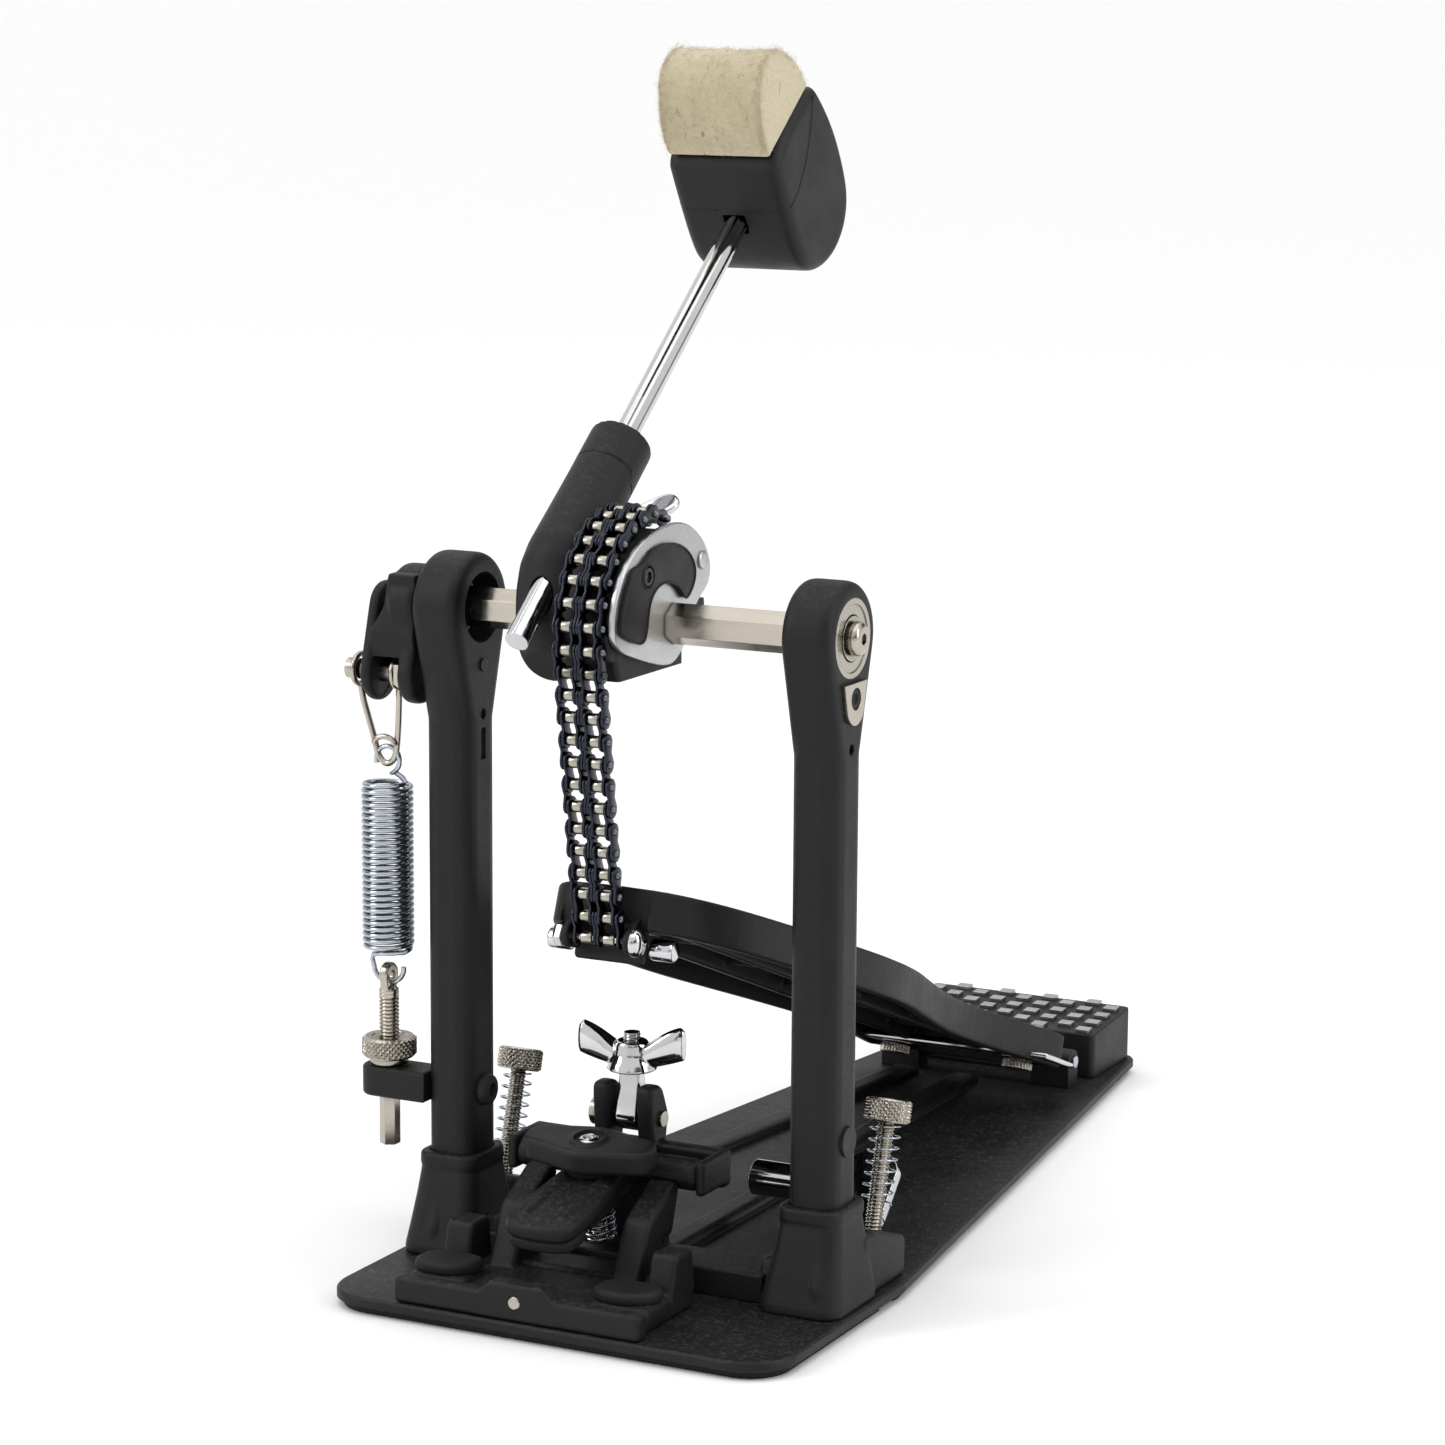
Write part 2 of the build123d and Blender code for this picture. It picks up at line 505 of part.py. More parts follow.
def clamp_pads():
    pads = []
    for x, y in ((CLAMP_X - 27.5, -42.2), (CLAMP_X + 28, -42.2)):
        pad = rounded(Pos(x, y, 13.5) * Box(19, 14, 4), Axis.Z, 5)
        pads.append(fillet(pad.faces().sort_by(Axis.Z)[-1].edges(), 1.5))
    return pads


def jaw_frame(shape):
    """Shapes drawn with the jaw level about its pivot, dipped toward the tip."""
    return Pos(CLAMP_X, 0, JAW_Z) * Rot(JAW_DIP, 0, 0) * shape


def jaw():
    """Upper jaw: lever with a cross bar at its pivot, a slot for the stud and a rubber tip."""
    lever = block(-11.5, 11.5, -47, 0, -2.2, 3.0)
    lever = fillet(lever.edges().filter_by(Axis.Z).sort_by(Axis.Y)[:2], 5)
    bar = rod_x(-28.5, 28.5, 0, 0, 4.2)
    body = lever + bar + block(-9, 9, -30, 0, -5, 3)
    body = body - rod_z(0, -11, -10, 10, 3.4) - rod_x(-40, 40, 0, 0, 2.0)
    pad = block(-10, 10, -46, -33, -5.2, -2.2)
    pad = fillet(pad.edges().filter_by(Axis.Z), 4)
    return jaw_frame(body), jaw_frame(pad)


def stud_parts():
    """Stud with its swivel foot, return spring and wing knob on the jaw's axis."""
    stud = jaw_frame(rod_z(0, -11, -17, 13.5, 3.0) + rod_z(0, -11, -18.0, -16.4, 5.0))
    path = Pos(0, -11, -15.8) * Helix(pitch=2.6, height=10.2, radius=5.0)
    coil = jaw_frame(sweep(Plane(origin=path @ 0, z_dir=path % 0) * Circle(0.5), path=path))
    boss = rod_z(0, -11, 3.3, 12.5, 7.4)
    wings = Pos(0, -11, 8.6) * Box(38, 9.5, 7.2)
    wings = fillet(wings.edges().filter_by(Axis.Z), 4.4)
    knob = jaw_frame(boss + wings - rod_z(0, -11, 0, 20, 3.04))
    return stud, coil, knob


def rear_bracket():
    """Bracket behind the jaw that holds its pivot pin and ends in a clevis for the swing bolt."""
    body = block(CLAMP_X - 31.5, CLAMP_X + 31.5, 8.5, 13.5, 30, 41)
    for x in (CLAMP_X - 31.5, CLAMP_X + 28.8):
        body += block(x, x + 2.7, -4.5, 13.5, 31, 41)
        body -= rod_x(x - 1, x + 4, 0, JAW_Z, 2.0)
    body += block(CLAMP_X - 12, CLAMP_X + 12, 8.5, 13.5, DECK_Z, 31)
    horn = [(8.5, 38), (13.5, 38), (17, 48), (14.5, 57), (8.5, 61), (4, 59), (8.5, 52)]
    for x in (CLAMP_X - 9.5, CLAMP_X + 4.3):
        body += yz_prism(horn, x, x + 5.2)
    return body - rod_x(CLAMP_X - 12, CLAMP_X + 12, 12, CLEVIS_Z, 2.3)


def swing_bolt():
    """Clevis pin, flat swing bolt and chrome wing nut."""
    pin = rod_x(CLAMP_X - 12.4, CLAMP_X + 10.6, 12, CLEVIS_Z, 2.3)
    pin += rod_x(CLAMP_X - 11.8, CLAMP_X - 9.6, 12, CLEVIS_Z, 4.2)
    eye = rod_x(CLAMP_X - 3.4, CLAMP_X + 3.4, 12, CLEVIS_Z, 4.4)
    strap = block(CLAMP_X - 3.4, CLAMP_X + 3.4, 10.5, 13.5, CLEVIS_Z, 61)
    shank = rod_z(CLAMP_X, 12, 60, 71.5, 2.5)
    bolt = eye + strap + shank - rod_x(CLAMP_X - 5, CLAMP_X + 5, 12, CLEVIS_Z, 2.35)
    hub_nut = rod_z(CLAMP_X, 12, 63.8, 69.5, 5.0)
    wings = None
    for side in (-1, 1):
        wing = Pos(CLAMP_X + side * 9.5, 12, 66.6) * Rot(0, -side * 16, 0) * Box(13, 4, 6.0)
        wings = wing if wings is None else wings + wing
    nut = hub_nut + wings - rod_z(CLAMP_X, 12, 55, 75, 2.54)
    return pin, bolt, nut


def drum_key():
    """Tuning key stored in a clip behind the right foot."""
    barrel = rod_x(15, 45, KEY_Y, KEY_Z, 5.2)
    barrel -= Pos(14, KEY_Y, KEY_Z) * Rot(0, 90, 0) * extrude(Rectangle(5.6, 5.6), 14)
    grip = Box(16, 3.6, 24)
    grip = fillet(grip.edges().filter_by(Axis.Y), 5)
    key = barrel + Pos(50, KEY_Y, KEY_Z) * Rot(-45, 0, 0) * grip
    clip = block(29, 38, KEY_Y - 7.5, KEY_Y + 7.5, DECK_Z, KEY_Z + 1.5) - rod_x(25, 42, KEY_Y, KEY_Z, 5.26)
    return key, clip


def post_trim():
    """Plug on the left post's inner face and domed cap on the right post's outer face."""
    inner, outer = -POST_X + POST_T / 2, POST_X + POST_T / 2
    pin_end = rod_x(inner, inner + 0.5, 0, AXLE_Z - 16.4, 1.9)
    return [pin_end, rod_x(outer - 2, outer + 0.8, 0, BRACKET_Z, 4.35)]


os.makedirs("parts", exist_ok=True)
front_pad, rear_pad = grip_pads()
spur_holes = [spur_axis(side, rod_z(0, 0, -20, 0, 3.0)) for side in (-1, 1)]
plate = base_plate()
for hole in spur_holes:
    plate -= hole
    rear_pad -= hole
save("base_plate", plate)
save("grip_pads", [front_pad, rear_pad])
save("cross_bar", block(-44.2, 44.2, -10, 6, DECK_Z, 13))
for side, word in ((-1, "left"), (1, "right")):
    save(f"{word}_foot", foot(side))
    save(f"{word}_post", post(side))
    save(f"{word}_spur", spur(side))
sides = [bearing(side) for side in (-1, 1)]
save("bearing_outer_rings", [solid for part in sides for solid in (part[0], *part[2])])
save("bearing_inner_rings", [part[1] for part in sides])
save("bearing_balls", [ball for part in sides for ball in part[3]])
save("spur_springs", [spur_spring(side) for side in (-1, 1)])
clip_plate, clip_screw = retainer()
save("bearing_clip_plate", clip_plate)
save("post_plugs", post_trim())
save("heel_block", heel_block())
save("heel_studs", heel_studs())
save("footboard", footboard())
leaf, knuckles, hinge_pin, nuts = hinge_parts()
save("hinge_leaf", leaf)
save("hinge_knuckles", knuckles)
save("hinge_pin", hinge_pin)
save("hinge_nuts", nuts)
clamp, clamp_bolt = chain_clamp()
save("chain_clamp", clamp)
save("chain_clamp_bolt", clamp_bolt)
save("hex_shaft", hex_shaft())
save("shaft_screw", shaft_screw())
barrel, collar = hub()
save("beater_hub", barrel)
save("hub_collar", collar)
save("hub_wing_screw", hub_screw())
cam_body, cam_plate, cam_inlay, cam_screws = cam()
save("chain_cam", cam_body)
save("cam_side_plate", cam_plate)
save("cam_inlay", cam_inlay)
save("cam_screws", cam_screws)
rod, head, felt = beater()
save("beater_rod", rod)
save("beater_body", head)
save("beater_felt", felt)
wrap, run = chain()
save("chain_on_cam", wrap)
save("chain_run", run)
arm, spring_pin = rocker()
save("rocker_arm", arm)
save("rocker_pin", spring_pin)
save("stirrup", stirrup())
coil, top_hook = extension_spring()
save("extension_spring", coil)
save("spring_top_hook", top_hook)
tension_rod, tension_nut, bracket = tension()
save("tension_rod", tension_rod)
save("tension_nut", tension_nut)
save("spring_bracket", bracket)
save("clamp_base", clamp_base())
save("clamp_pads", clamp_pads())
lip_pin = Pos(CLAMP_X, -53, 10.5) * Rot(90, 0, 0) * Cylinder(1.9, 6.6)
save("frame_screws", [clip_screw, bracket_screw(), lip_pin])
lever, tip_pad = jaw()
save("clamp_jaw", lever)
save("jaw_pad", tip_pad)
stud, return_spring, knob = stud_parts()
save("clamp_stud", stud)
save("return_spring", return_spring)
save("clamp_knob", knob)
save("rear_bracket", rear_bracket())
clevis_pin, bolt, wing_nut = swing_bolt()
jaw_pin = rod_x(CLAMP_X - 31, CLAMP_X + 31, 0, JAW_Z, 1.95)
save("clamp_pins", [clevis_pin, jaw_pin])
save("swing_bolt", bolt)
save("wing_nut", wing_nut)
key, key_clip = drum_key()
save("drum_key", key)
save("key_clip", key_clip)
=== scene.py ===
"""Materials, fine detail, light and camera for the bass drum pedal. Metres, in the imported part's frame."""
import json
import math

import bpy
import numpy as np
from mathutils import Matrix, Vector


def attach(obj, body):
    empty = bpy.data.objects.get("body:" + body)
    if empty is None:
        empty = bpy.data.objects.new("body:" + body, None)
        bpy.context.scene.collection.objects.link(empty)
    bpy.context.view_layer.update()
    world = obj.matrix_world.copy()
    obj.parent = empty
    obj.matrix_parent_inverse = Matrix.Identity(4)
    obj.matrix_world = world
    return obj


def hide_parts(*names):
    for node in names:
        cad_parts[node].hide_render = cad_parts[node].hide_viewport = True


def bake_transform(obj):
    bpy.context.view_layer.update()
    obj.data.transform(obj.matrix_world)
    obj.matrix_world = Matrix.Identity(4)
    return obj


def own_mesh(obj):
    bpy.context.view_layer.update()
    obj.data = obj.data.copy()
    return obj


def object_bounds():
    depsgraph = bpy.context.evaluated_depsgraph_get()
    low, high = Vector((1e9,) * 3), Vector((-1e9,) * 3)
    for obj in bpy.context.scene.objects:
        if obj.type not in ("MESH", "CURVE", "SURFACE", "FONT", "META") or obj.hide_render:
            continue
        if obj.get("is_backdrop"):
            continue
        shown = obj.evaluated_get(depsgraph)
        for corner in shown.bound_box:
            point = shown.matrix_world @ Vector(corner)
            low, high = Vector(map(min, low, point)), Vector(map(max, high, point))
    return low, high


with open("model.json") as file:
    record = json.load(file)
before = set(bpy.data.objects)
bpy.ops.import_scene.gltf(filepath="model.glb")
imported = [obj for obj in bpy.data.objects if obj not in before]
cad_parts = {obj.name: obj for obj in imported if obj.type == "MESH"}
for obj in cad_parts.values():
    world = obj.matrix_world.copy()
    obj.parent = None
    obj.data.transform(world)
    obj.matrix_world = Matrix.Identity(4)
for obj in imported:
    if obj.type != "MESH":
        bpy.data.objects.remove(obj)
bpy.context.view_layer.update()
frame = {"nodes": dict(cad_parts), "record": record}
NODES = frame["nodes"]
MM = 0.001
# Driving dimensions in millimetres: the axle, the beater rod laid back at rest, the posts.
AXLE_Z = 192.0
TILT = math.radians(51.0)
HUB_X, ROD_AHEAD = -18.0, 21.5
POST_X = 57.5
SIDES = ((-1, "left"), (1, "right"))
rng = np.random.default_rng(7)


# ---------------------------------------------------------------- shaders
class Nodes:
    """Builds a node tree in small steps."""

    def __init__(self, tree):
        self.tree = tree

    def node(self, kind, **settings):
        made = self.tree.nodes.new(kind)
        for key, value in settings.items():
            setattr(made, key, value)
        return made

    def feed(self, source, target):
        self.tree.links.new(source, target)

    def remap(self, source, low, high, to_low=0.0, to_high=1.0, kind="LINEAR"):
        made = self.node("ShaderNodeMapRange", clamp=True, interpolation_type=kind)
        for name, value in zip(("From Min", "From Max", "To Min", "To Max"), (low, high, to_low, to_high)):
            made.inputs[name].default_value = value
        self.feed(source, made.inputs["Value"])
        return made.outputs["Result"]

    def math(self, operation, a, b):
        made = self.node("ShaderNodeMath", operation=operation)
        for source, target in zip((a, b), made.inputs):
            if isinstance(source, (int, float)):
                target.default_value = source
            else:
                self.feed(source, target)
        return made.outputs["Value"]


class Shader(Nodes):
    """A Principled material."""

    def __init__(self, name, color, metallic, roughness):
        self.mat = bpy.data.materials.new(name)
        self.mat.use_nodes = True
        super().__init__(self.mat.node_tree)
        self.bsdf = self.tree.nodes["Principled BSDF"]
        self.bsdf.inputs["Base Color"].default_value = (*color, 1)
        self.bsdf.inputs["Metallic"].default_value = metallic
        self.bsdf.inputs["Roughness"].default_value = roughness
        self.coords = self.node("ShaderNodeTexCoord").outputs["Object"]

    def texture(self, kind, stretch, **settings):
        """A texture node on object coordinates, squeezed along the axes by stretch."""
        move = self.node("ShaderNodeMapping")
        move.inputs["Scale"].default_value = stretch
        self.feed(self.coords, move.inputs["Vector"])
        made = self.node(kind, **settings)
        self.feed(move.outputs["Vector"], made.inputs["Vector"])
        return made

    def noise(self, scale, detail=2.0, rough=0.5, stretch=(1, 1, 1), distortion=0.0):
        made = self.texture("ShaderNodeTexNoise", stretch)
        made.inputs["Scale"].default_value = scale
        made.inputs["Detail"].default_value = detail
        made.inputs["Roughness"].default_value = rough
        made.inputs["Distortion"].default_value = distortion
        return made.outputs["Fac"]

    def cells(self, scale):
        made = self.texture("ShaderNodeTexVoronoi", (1, 1, 1), feature="F1")
        made.inputs["Scale"].default_value = scale
        return made.outputs["Distance"]

    def mix(self, factor, a, b):
        made = self.node("ShaderNodeMix", data_type="RGBA")
        self.feed(factor, made.inputs["Factor"])
        for source, target in ((a, made.inputs["A"]), (b, made.inputs["B"])):
            if isinstance(source, tuple):
                target.default_value = (*source, 1)
            else:
                self.feed(source, target)
        return made.outputs["Result"]

    def round_edges(self, radius):
        """Softened normals at sharp edges, and a mask that is 1 on them."""
        bevel = self.node("ShaderNodeBevel", samples=4)
        bevel.inputs["Radius"].default_value = radius
        true = self.node("ShaderNodeNewGeometry").outputs["Normal"]
        dot = self.node("ShaderNodeVectorMath", operation="DOT_PRODUCT")
        self.feed(bevel.outputs["Normal"], dot.inputs[0])
        self.feed(true, dot.inputs[1])
        return bevel.outputs["Normal"], self.remap(dot.outputs["Value"], 0.98, 0.80)

    def bump(self, layers, normal=None):
        """Stacks height layers, each (height output, distance in metres, strength)."""
        for height, distance, strength in layers:
            made = self.node("ShaderNodeBump")
            made.inputs["Distance"].default_value = distance
            made.inputs["Strength"].default_value = strength
            self.feed(height, made.inputs["Height"])
            if normal is not None:
                self.feed(normal, made.inputs["Normal"])
            normal = made.outputs["Normal"]
        self.feed(normal, self.bsdf.inputs["Normal"])

    def upward(self):
        """How much the surface faces up, for settled dust."""
        parts = self.node("ShaderNodeSeparateXYZ")
        self.feed(self.node("ShaderNodeNewGeometry").outputs["Normal"], parts.inputs["Vector"])
        return self.remap(parts.outputs["Z"], 0.5, 1.0)

    def hollow(self, distance):
        """1 in corners and recesses: the mask for painted shade."""
        made = self.node("ShaderNodeAmbientOcclusion", samples=4)
        made.inputs["Distance"].default_value = distance
        return self.remap(made.outputs["AO"], 0.35, 0.85, 1.0, 0.0)


def shade(color, amount):
    """The colour, lighter or darker."""
    return tuple(c * amount for c in color)


def powder_coat(name, color, rough, grain, depth, worn):
    """Black powder coat: fine orange-peel grain, rubbed edges, a little dust where it faces up."""
    s = Shader(name, color, 0.0, rough)
    normal, edge = s.round_edges(0.0006)
    fine = s.noise(grain, 3.0, 0.6)
    pits = s.cells(grain * 0.75)
    broad = s.noise(45, 3.0, 0.6)
    scuff = s.noise(160, 5.0, 0.7, (1, 1, 4), 1.5)
    rub = s.math("MULTIPLY", edge, s.remap(scuff, 0.45, 0.62, 0.0, worn))
    dust = s.math("MULTIPLY", s.upward(), s.remap(s.noise(700, 4.0, 0.7), 0.50, 0.72, 0.0, 0.30))
    base = s.mix(s.remap(broad, 0.35, 0.7), shade(color, 0.8), shade(color, 1.25))
    base = s.mix(rub, base, (0.16, 0.16, 0.165))
    base = s.mix(dust, base, (0.13, 0.125, 0.115))
    s.feed(base, s.bsdf.inputs["Base Color"])
    shine = s.remap(broad, 0.3, 0.7, rough - 0.05, rough + 0.07)
    shine = s.math("ADD", shine, s.remap(scuff, 0.56, 0.66, 0.0, -0.07))
    s.feed(shine, s.bsdf.inputs["Roughness"])
    s.bsdf.inputs["Specular IOR Level"].default_value = 0.24
    s.bump([(pits, 0.00010, depth * 0.7), (fine, 0.00014, depth), (broad, 0.0004, 0.12)], normal)
    return s.mat


def plated(name, color, rough, stretch, streak, corner_shade):
    """Plated or bare steel: drawn streaks, light scratches, painted shade in corners, and smears."""
    s = Shader(name, color, 1.0, rough)
    normal = s.round_edges(0.00035)[0]
    lines = s.noise(900, 3.0, 0.6, stretch)
    smear = s.noise(120, 4.0, 0.65, (1, 1, 1), 0.8)
    specks = s.cells(2600)
    # Painted shade: ambient occlusion darkens the colour to a quarter in corners and recesses.
    dark = s.math("MULTIPLY", s.hollow(0.002), corner_shade)
    base = s.mix(s.remap(smear, 0.35, 0.7), shade(color, 0.92), color)
    base = s.mix(dark, base, shade(color, 0.25))
    s.feed(base, s.bsdf.inputs["Base Color"])
    shine = s.remap(smear, 0.35, 0.75, rough * 0.7, rough * 1.5)
    shine = s.math("ADD", shine, s.remap(lines, 0.35, 0.65, 0.0, streak * 0.25))
    s.feed(shine, s.bsdf.inputs["Roughness"])
    s.bump([(lines, 0.00003, streak), (specks, 0.00002, streak * 0.25)], normal)
    return s.mat


def moulded(name, color, rough, grain, depth, spec):
    """Rubber or nylon: sparkle of fine mould texture, dull dust in the pores."""
    s = Shader(name, color, 0.0, rough)
    normal, edge = s.round_edges(0.0005)
    fine = s.noise(grain, 4.0, 0.65)
    pores = s.cells(grain * 0.6)
    broad = s.noise(60, 3.0, 0.6)
    base = s.mix(s.remap(fine, 0.4, 0.75), color, shade(color, 1.6))
    base = s.mix(s.math("MULTIPLY", edge, s.remap(broad, 0.4, 0.7, 0.0, 0.4)), base, shade(color, 2.6))
    s.feed(base, s.bsdf.inputs["Base Color"])
    s.feed(s.remap(broad, 0.3, 0.7, rough - 0.06, rough + 0.08), s.bsdf.inputs["Roughness"])
    s.bsdf.inputs["Specular IOR Level"].default_value = spec
    s.bump([(pores, 0.00008, depth * 0.6), (fine, 0.00010, depth)], normal)
    return s.mat


def wool_felt(name, color):
    """Dense pressed felt: matted fibres, flecks of darker wool, a soft sheen."""
    s = Shader(name, color, 0.0, 0.95)
    fibre_a = s.noise(900, 4.0, 0.75, (1, 0.25, 1), 2.5)
    fibre_b = s.noise(1400, 4.0, 0.75, (0.3, 1, 1), 2.0)
    cloudy = s.noise(70, 3.0, 0.6)
    fleck = s.noise(420, 2.0, 0.5, (1, 1, 0.35))
    base = s.mix(s.remap(cloudy, 0.3, 0.7), shade(color, 0.93), color)
    base = s.mix(s.remap(fibre_a, 0.40, 0.66, 0.0, 0.8), base, shade(color, 0.72))
    base = s.mix(s.remap(fleck, 0.66, 0.74, 0.0, 0.7), base, (0.20, 0.15, 0.09))
    s.feed(base, s.bsdf.inputs["Base Color"])
    s.bsdf.inputs["Sheen Weight"].default_value = 0.35
    s.bsdf.inputs["Sheen Roughness"].default_value = 0.6
    s.bsdf.inputs["Subsurface Weight"].default_value = 0.15
    s.bsdf.inputs["Subsurface Radius"].default_value = (0.002, 0.0015, 0.001)
    s.bump([(fibre_a, 0.00025, 0.5), (fibre_b, 0.0002, 0.5), (cloudy, 0.0008, 0.25)])
    return s.mat


MATERIALS = {
    "black_casting": powder_coat("black_casting", (0.0075, 0.0075, 0.008), 0.50, 1500, 0.55, 0.35),
    "black_plate": powder_coat("black_plate", (0.0085, 0.0085, 0.0092), 0.46, 1900, 0.40, 0.25),
    "rubber": moulded("rubber", (0.008, 0.008, 0.0085), 0.60, 2200, 0.45, 0.24),
    "tread": moulded("tread", (0.012, 0.012, 0.0125), 0.66, 2200, 0.5, 0.3),
    "black_plastic": moulded("black_plastic", (0.007, 0.007, 0.0075), 0.48, 2600, 0.30, 0.28),
    "nickel": plated("nickel", (0.47, 0.43, 0.37), 0.17, (0.05, 1, 1), 0.25, 1.0),
    "chrome": plated("chrome", (0.62, 0.62, 0.635), 0.05, (1, 1, 1), 0.04, 0.7),
    "zinc": plated("zinc", (0.46, 0.50, 0.55), 0.15, (1, 1, 0.2), 0.15, 1.0),
    "bearing_steel": plated("bearing_steel", (0.43, 0.405, 0.35), 0.18, (0.1, 1, 1), 0.3, 1.0),
    "blued_steel": plated("blued_steel", (0.036, 0.040, 0.052), 0.22, (1, 1, 0.3), 0.30, 0.8),
    "satin_aluminium": plated("satin_aluminium", (0.50, 0.50, 0.505), 0.30, (1, 0.06, 1), 0.35, 0.8),
    "felt": wool_felt("felt", (0.54, 0.465, 0.305)),
    "chain_pins": plated("chain_pins", (0.16, 0.17, 0.20), 0.22, (1, 1, 1), 0.2, 0.8),
}
SLOT_OF = {row["node"]: row["material_slot"] for row in frame["record"]["subparts"]}


def paint(obj, slot_name, material=None):
    """Gives the object its material: the one named, else the slot's own."""
    obj.data.materials.clear()
    obj.data.materials.append(MATERIALS[material or slot_name])


# ---------------------------------------------------------------- mesh building, in millimetres
class Mesh:
    """Gathers vertices and faces in millimetres."""

    def __init__(self):
        self.points = []
        self.faces = []

    def add(self, points, faces):
        start = len(self.points)
        self.points += [tuple(p) for p in points]
        self.faces += [tuple(start + i for i in f) for f in faces]

    def make(self, name, angle=35.0):
        data = bpy.data.meshes.new(name)
        data.from_pydata([(x * MM, y * MM, z * MM) for x, y, z in self.points], [], self.faces)
        data.validate()
        data.update()
        data.shade_smooth()
        data.set_sharp_from_angle(angle=math.radians(angle))
        obj = bpy.data.objects.new(name, data)
        bpy.context.scene.collection.objects.link(obj)
        return obj


def placed(origin, axis, turn=0.0):
    """Matrix from a frame whose z runs along the axis to the row frame."""
    rot = Vector(axis).normalized().to_track_quat("Z", "Y").to_matrix().to_4x4()
    return Matrix.Translation(Vector(origin)) @ rot @ Matrix.Rotation(turn, 4, "Z")


def grid_faces(rows, cols, wrap_cols=True, wrap_rows=False):
    """Quads over a grid of points, row after row."""
    faces = []
    for r in range(rows if wrap_rows else rows - 1):
        for c in range(cols if wrap_cols else cols - 1):
            a, b = r * cols + c, r * cols + (c + 1) % cols
            up = ((r + 1) % rows) * cols
            faces.append((a, b, up + (c + 1) % cols, up + c))
    return faces


def lathe(mesh, profile, where, segments=40, shape=None):
    """Revolves (radius, height) points about local z; shape(radius, height, angle) may vary the radius."""
    points = []
    for radius, height in profile:
        for k in range(segments):
            t = 2 * math.pi * k / segments
            r = shape(radius, height, t) if shape else radius
            points.append(where @ Vector((r * math.cos(t), r * math.sin(t), height)))
    faces = grid_faces(len(profile), segments)
    count = len(profile) * segments
    faces.append(tuple(reversed(range(segments))))
    faces.append(tuple(range(count - segments, count)))
    mesh.add(points, faces)


def rounded_profile(radius, low, high, edge, inner=0.0, steps=3):
    """Cylinder profile with rounded rims."""
    points = [(max(inner, 0.01), low)]
    for k in range(steps + 1):
        a = math.pi / 2 * k / steps
        points.append((radius - edge + edge * math.sin(a), low + edge - edge * math.cos(a)))
    for k in range(steps + 1):
        a = math.pi / 2 * k / steps
        points.append((radius - edge + edge * math.cos(a), high - edge + edge * math.sin(a)))
    points.append((max(inner, 0.01), high))
    return points


def tube(mesh, path, radius, sides=10, closed=False):
    """Round wire along a list of points, its frame carried along without twist."""
    path = [Vector(p) for p in path]
    count = len(path)
    points, side = [], None
    for i, p in enumerate(path):
        ahead = path[(i + 1) % count] if closed or i + 1 < count else p
        behind = path[i - 1] if closed or i else p
        along = (ahead - behind).normalized()
        if side is None:
            side = along.orthogonal().normalized()
        side = (side - along * side.dot(along)).normalized()
        other = along.cross(side)
        for k in range(sides):
            t = 2 * math.pi * k / sides
            points.append(p + (side * math.cos(t) + other * math.sin(t)) * radius)
    faces = grid_faces(count, sides, True, closed)
    if not closed:
        faces.append(tuple(reversed(range(sides))))
        faces.append(tuple(range((count - 1) * sides, count * sides)))
    mesh.add(points, faces)


def screw_thread(mesh, radius, depth, pitch, low, high, where, segments=28):
    """Threaded rod: the radius follows a helix, fading out at both ends."""
    rows = int((high - low) / pitch * 6)
    profile = [(0.01, low), (radius - depth, low)]
    profile += [(radius, low + (high - low) * k / rows) for k in range(rows + 1)]
    profile += [(radius - depth, high), (0.01, high)]

    def helix(r, h, t):
        if r < radius:
            return r
        phase = (h / pitch - t / (2 * math.pi)) % 1.0
        return radius - depth * min(1.0, max(0.0, abs(phase - 0.5) * 2.6 - 0.15))

    lathe(mesh, profile, where, segments, helix)


def slab(mesh, outline, thickness, where, edge=0.3, steps=2):
    """Flat plate from a closed outline in local xy, edges rounded over, standing on local z = 0."""
    pts = np.array(outline, float)
    ahead, behind = np.roll(pts, -1, 0) - pts, pts - np.roll(pts, 1, 0)
    ahead /= np.linalg.norm(ahead, axis=1)[:, None]
    behind /= np.linalg.norm(behind, axis=1)[:, None]
    normal = np.stack([ahead[:, 1] + behind[:, 1], -ahead[:, 0] - behind[:, 0]], 1)
    length = np.linalg.norm(normal, axis=1)[:, None]
    normal = normal / length * (2 / length).clip(1, 2)
    area = np.sum(pts[:, 0] * np.roll(pts[:, 1], -1) - np.roll(pts[:, 0], -1) * pts[:, 1])
    if area < 0:
        normal = -normal
    rings = []
    for k in range(steps + 1):
        a = math.pi / 2 * k / steps
        rings.append((edge * (1 - math.sin(a)), edge * (1 - math.cos(a))))
    for k in range(steps + 1):
        a = math.pi / 2 * k / steps
        rings.append((edge * (1 - math.cos(a)), thickness - edge * (1 - math.sin(a))))
    points = []
    for inset, height in rings:
        for p, n in zip(pts, normal):
            points.append(where @ Vector((p[0] - n[0] * inset, p[1] - n[1] * inset, height)))
    count, last = len(pts), (len(rings) - 1) * len(pts)
    faces = grid_faces(len(rings), count)
    faces.append(tuple(reversed(range(count))))
    faces.append(tuple(range(last, last + count)))
    mesh.add(points, faces)


def box_shell(mesh, low, high, where=Matrix.Identity(4), edge=0.4, steps=2):
    """Box with rounded upright edges and rims."""
    (x0, y0, z0), (x1, y1, z1) = low, high
    outline = []
    for cx, cy, start in ((x1, y1, 0), (x0, y1, 90), (x0, y0, 180), (x1, y0, 270)):
        sx, sy = (edge if cx == x1 else -edge), (edge if cy == y1 else -edge)
        for k in range(4):
            a = math.radians(start + 30 * k)
            outline.append((cx - sx + edge * math.cos(a), cy - sy + edge * math.sin(a)))
    slab(mesh, outline, z1 - z0, where @ Matrix.Translation((0, 0, z0)), edge, steps)


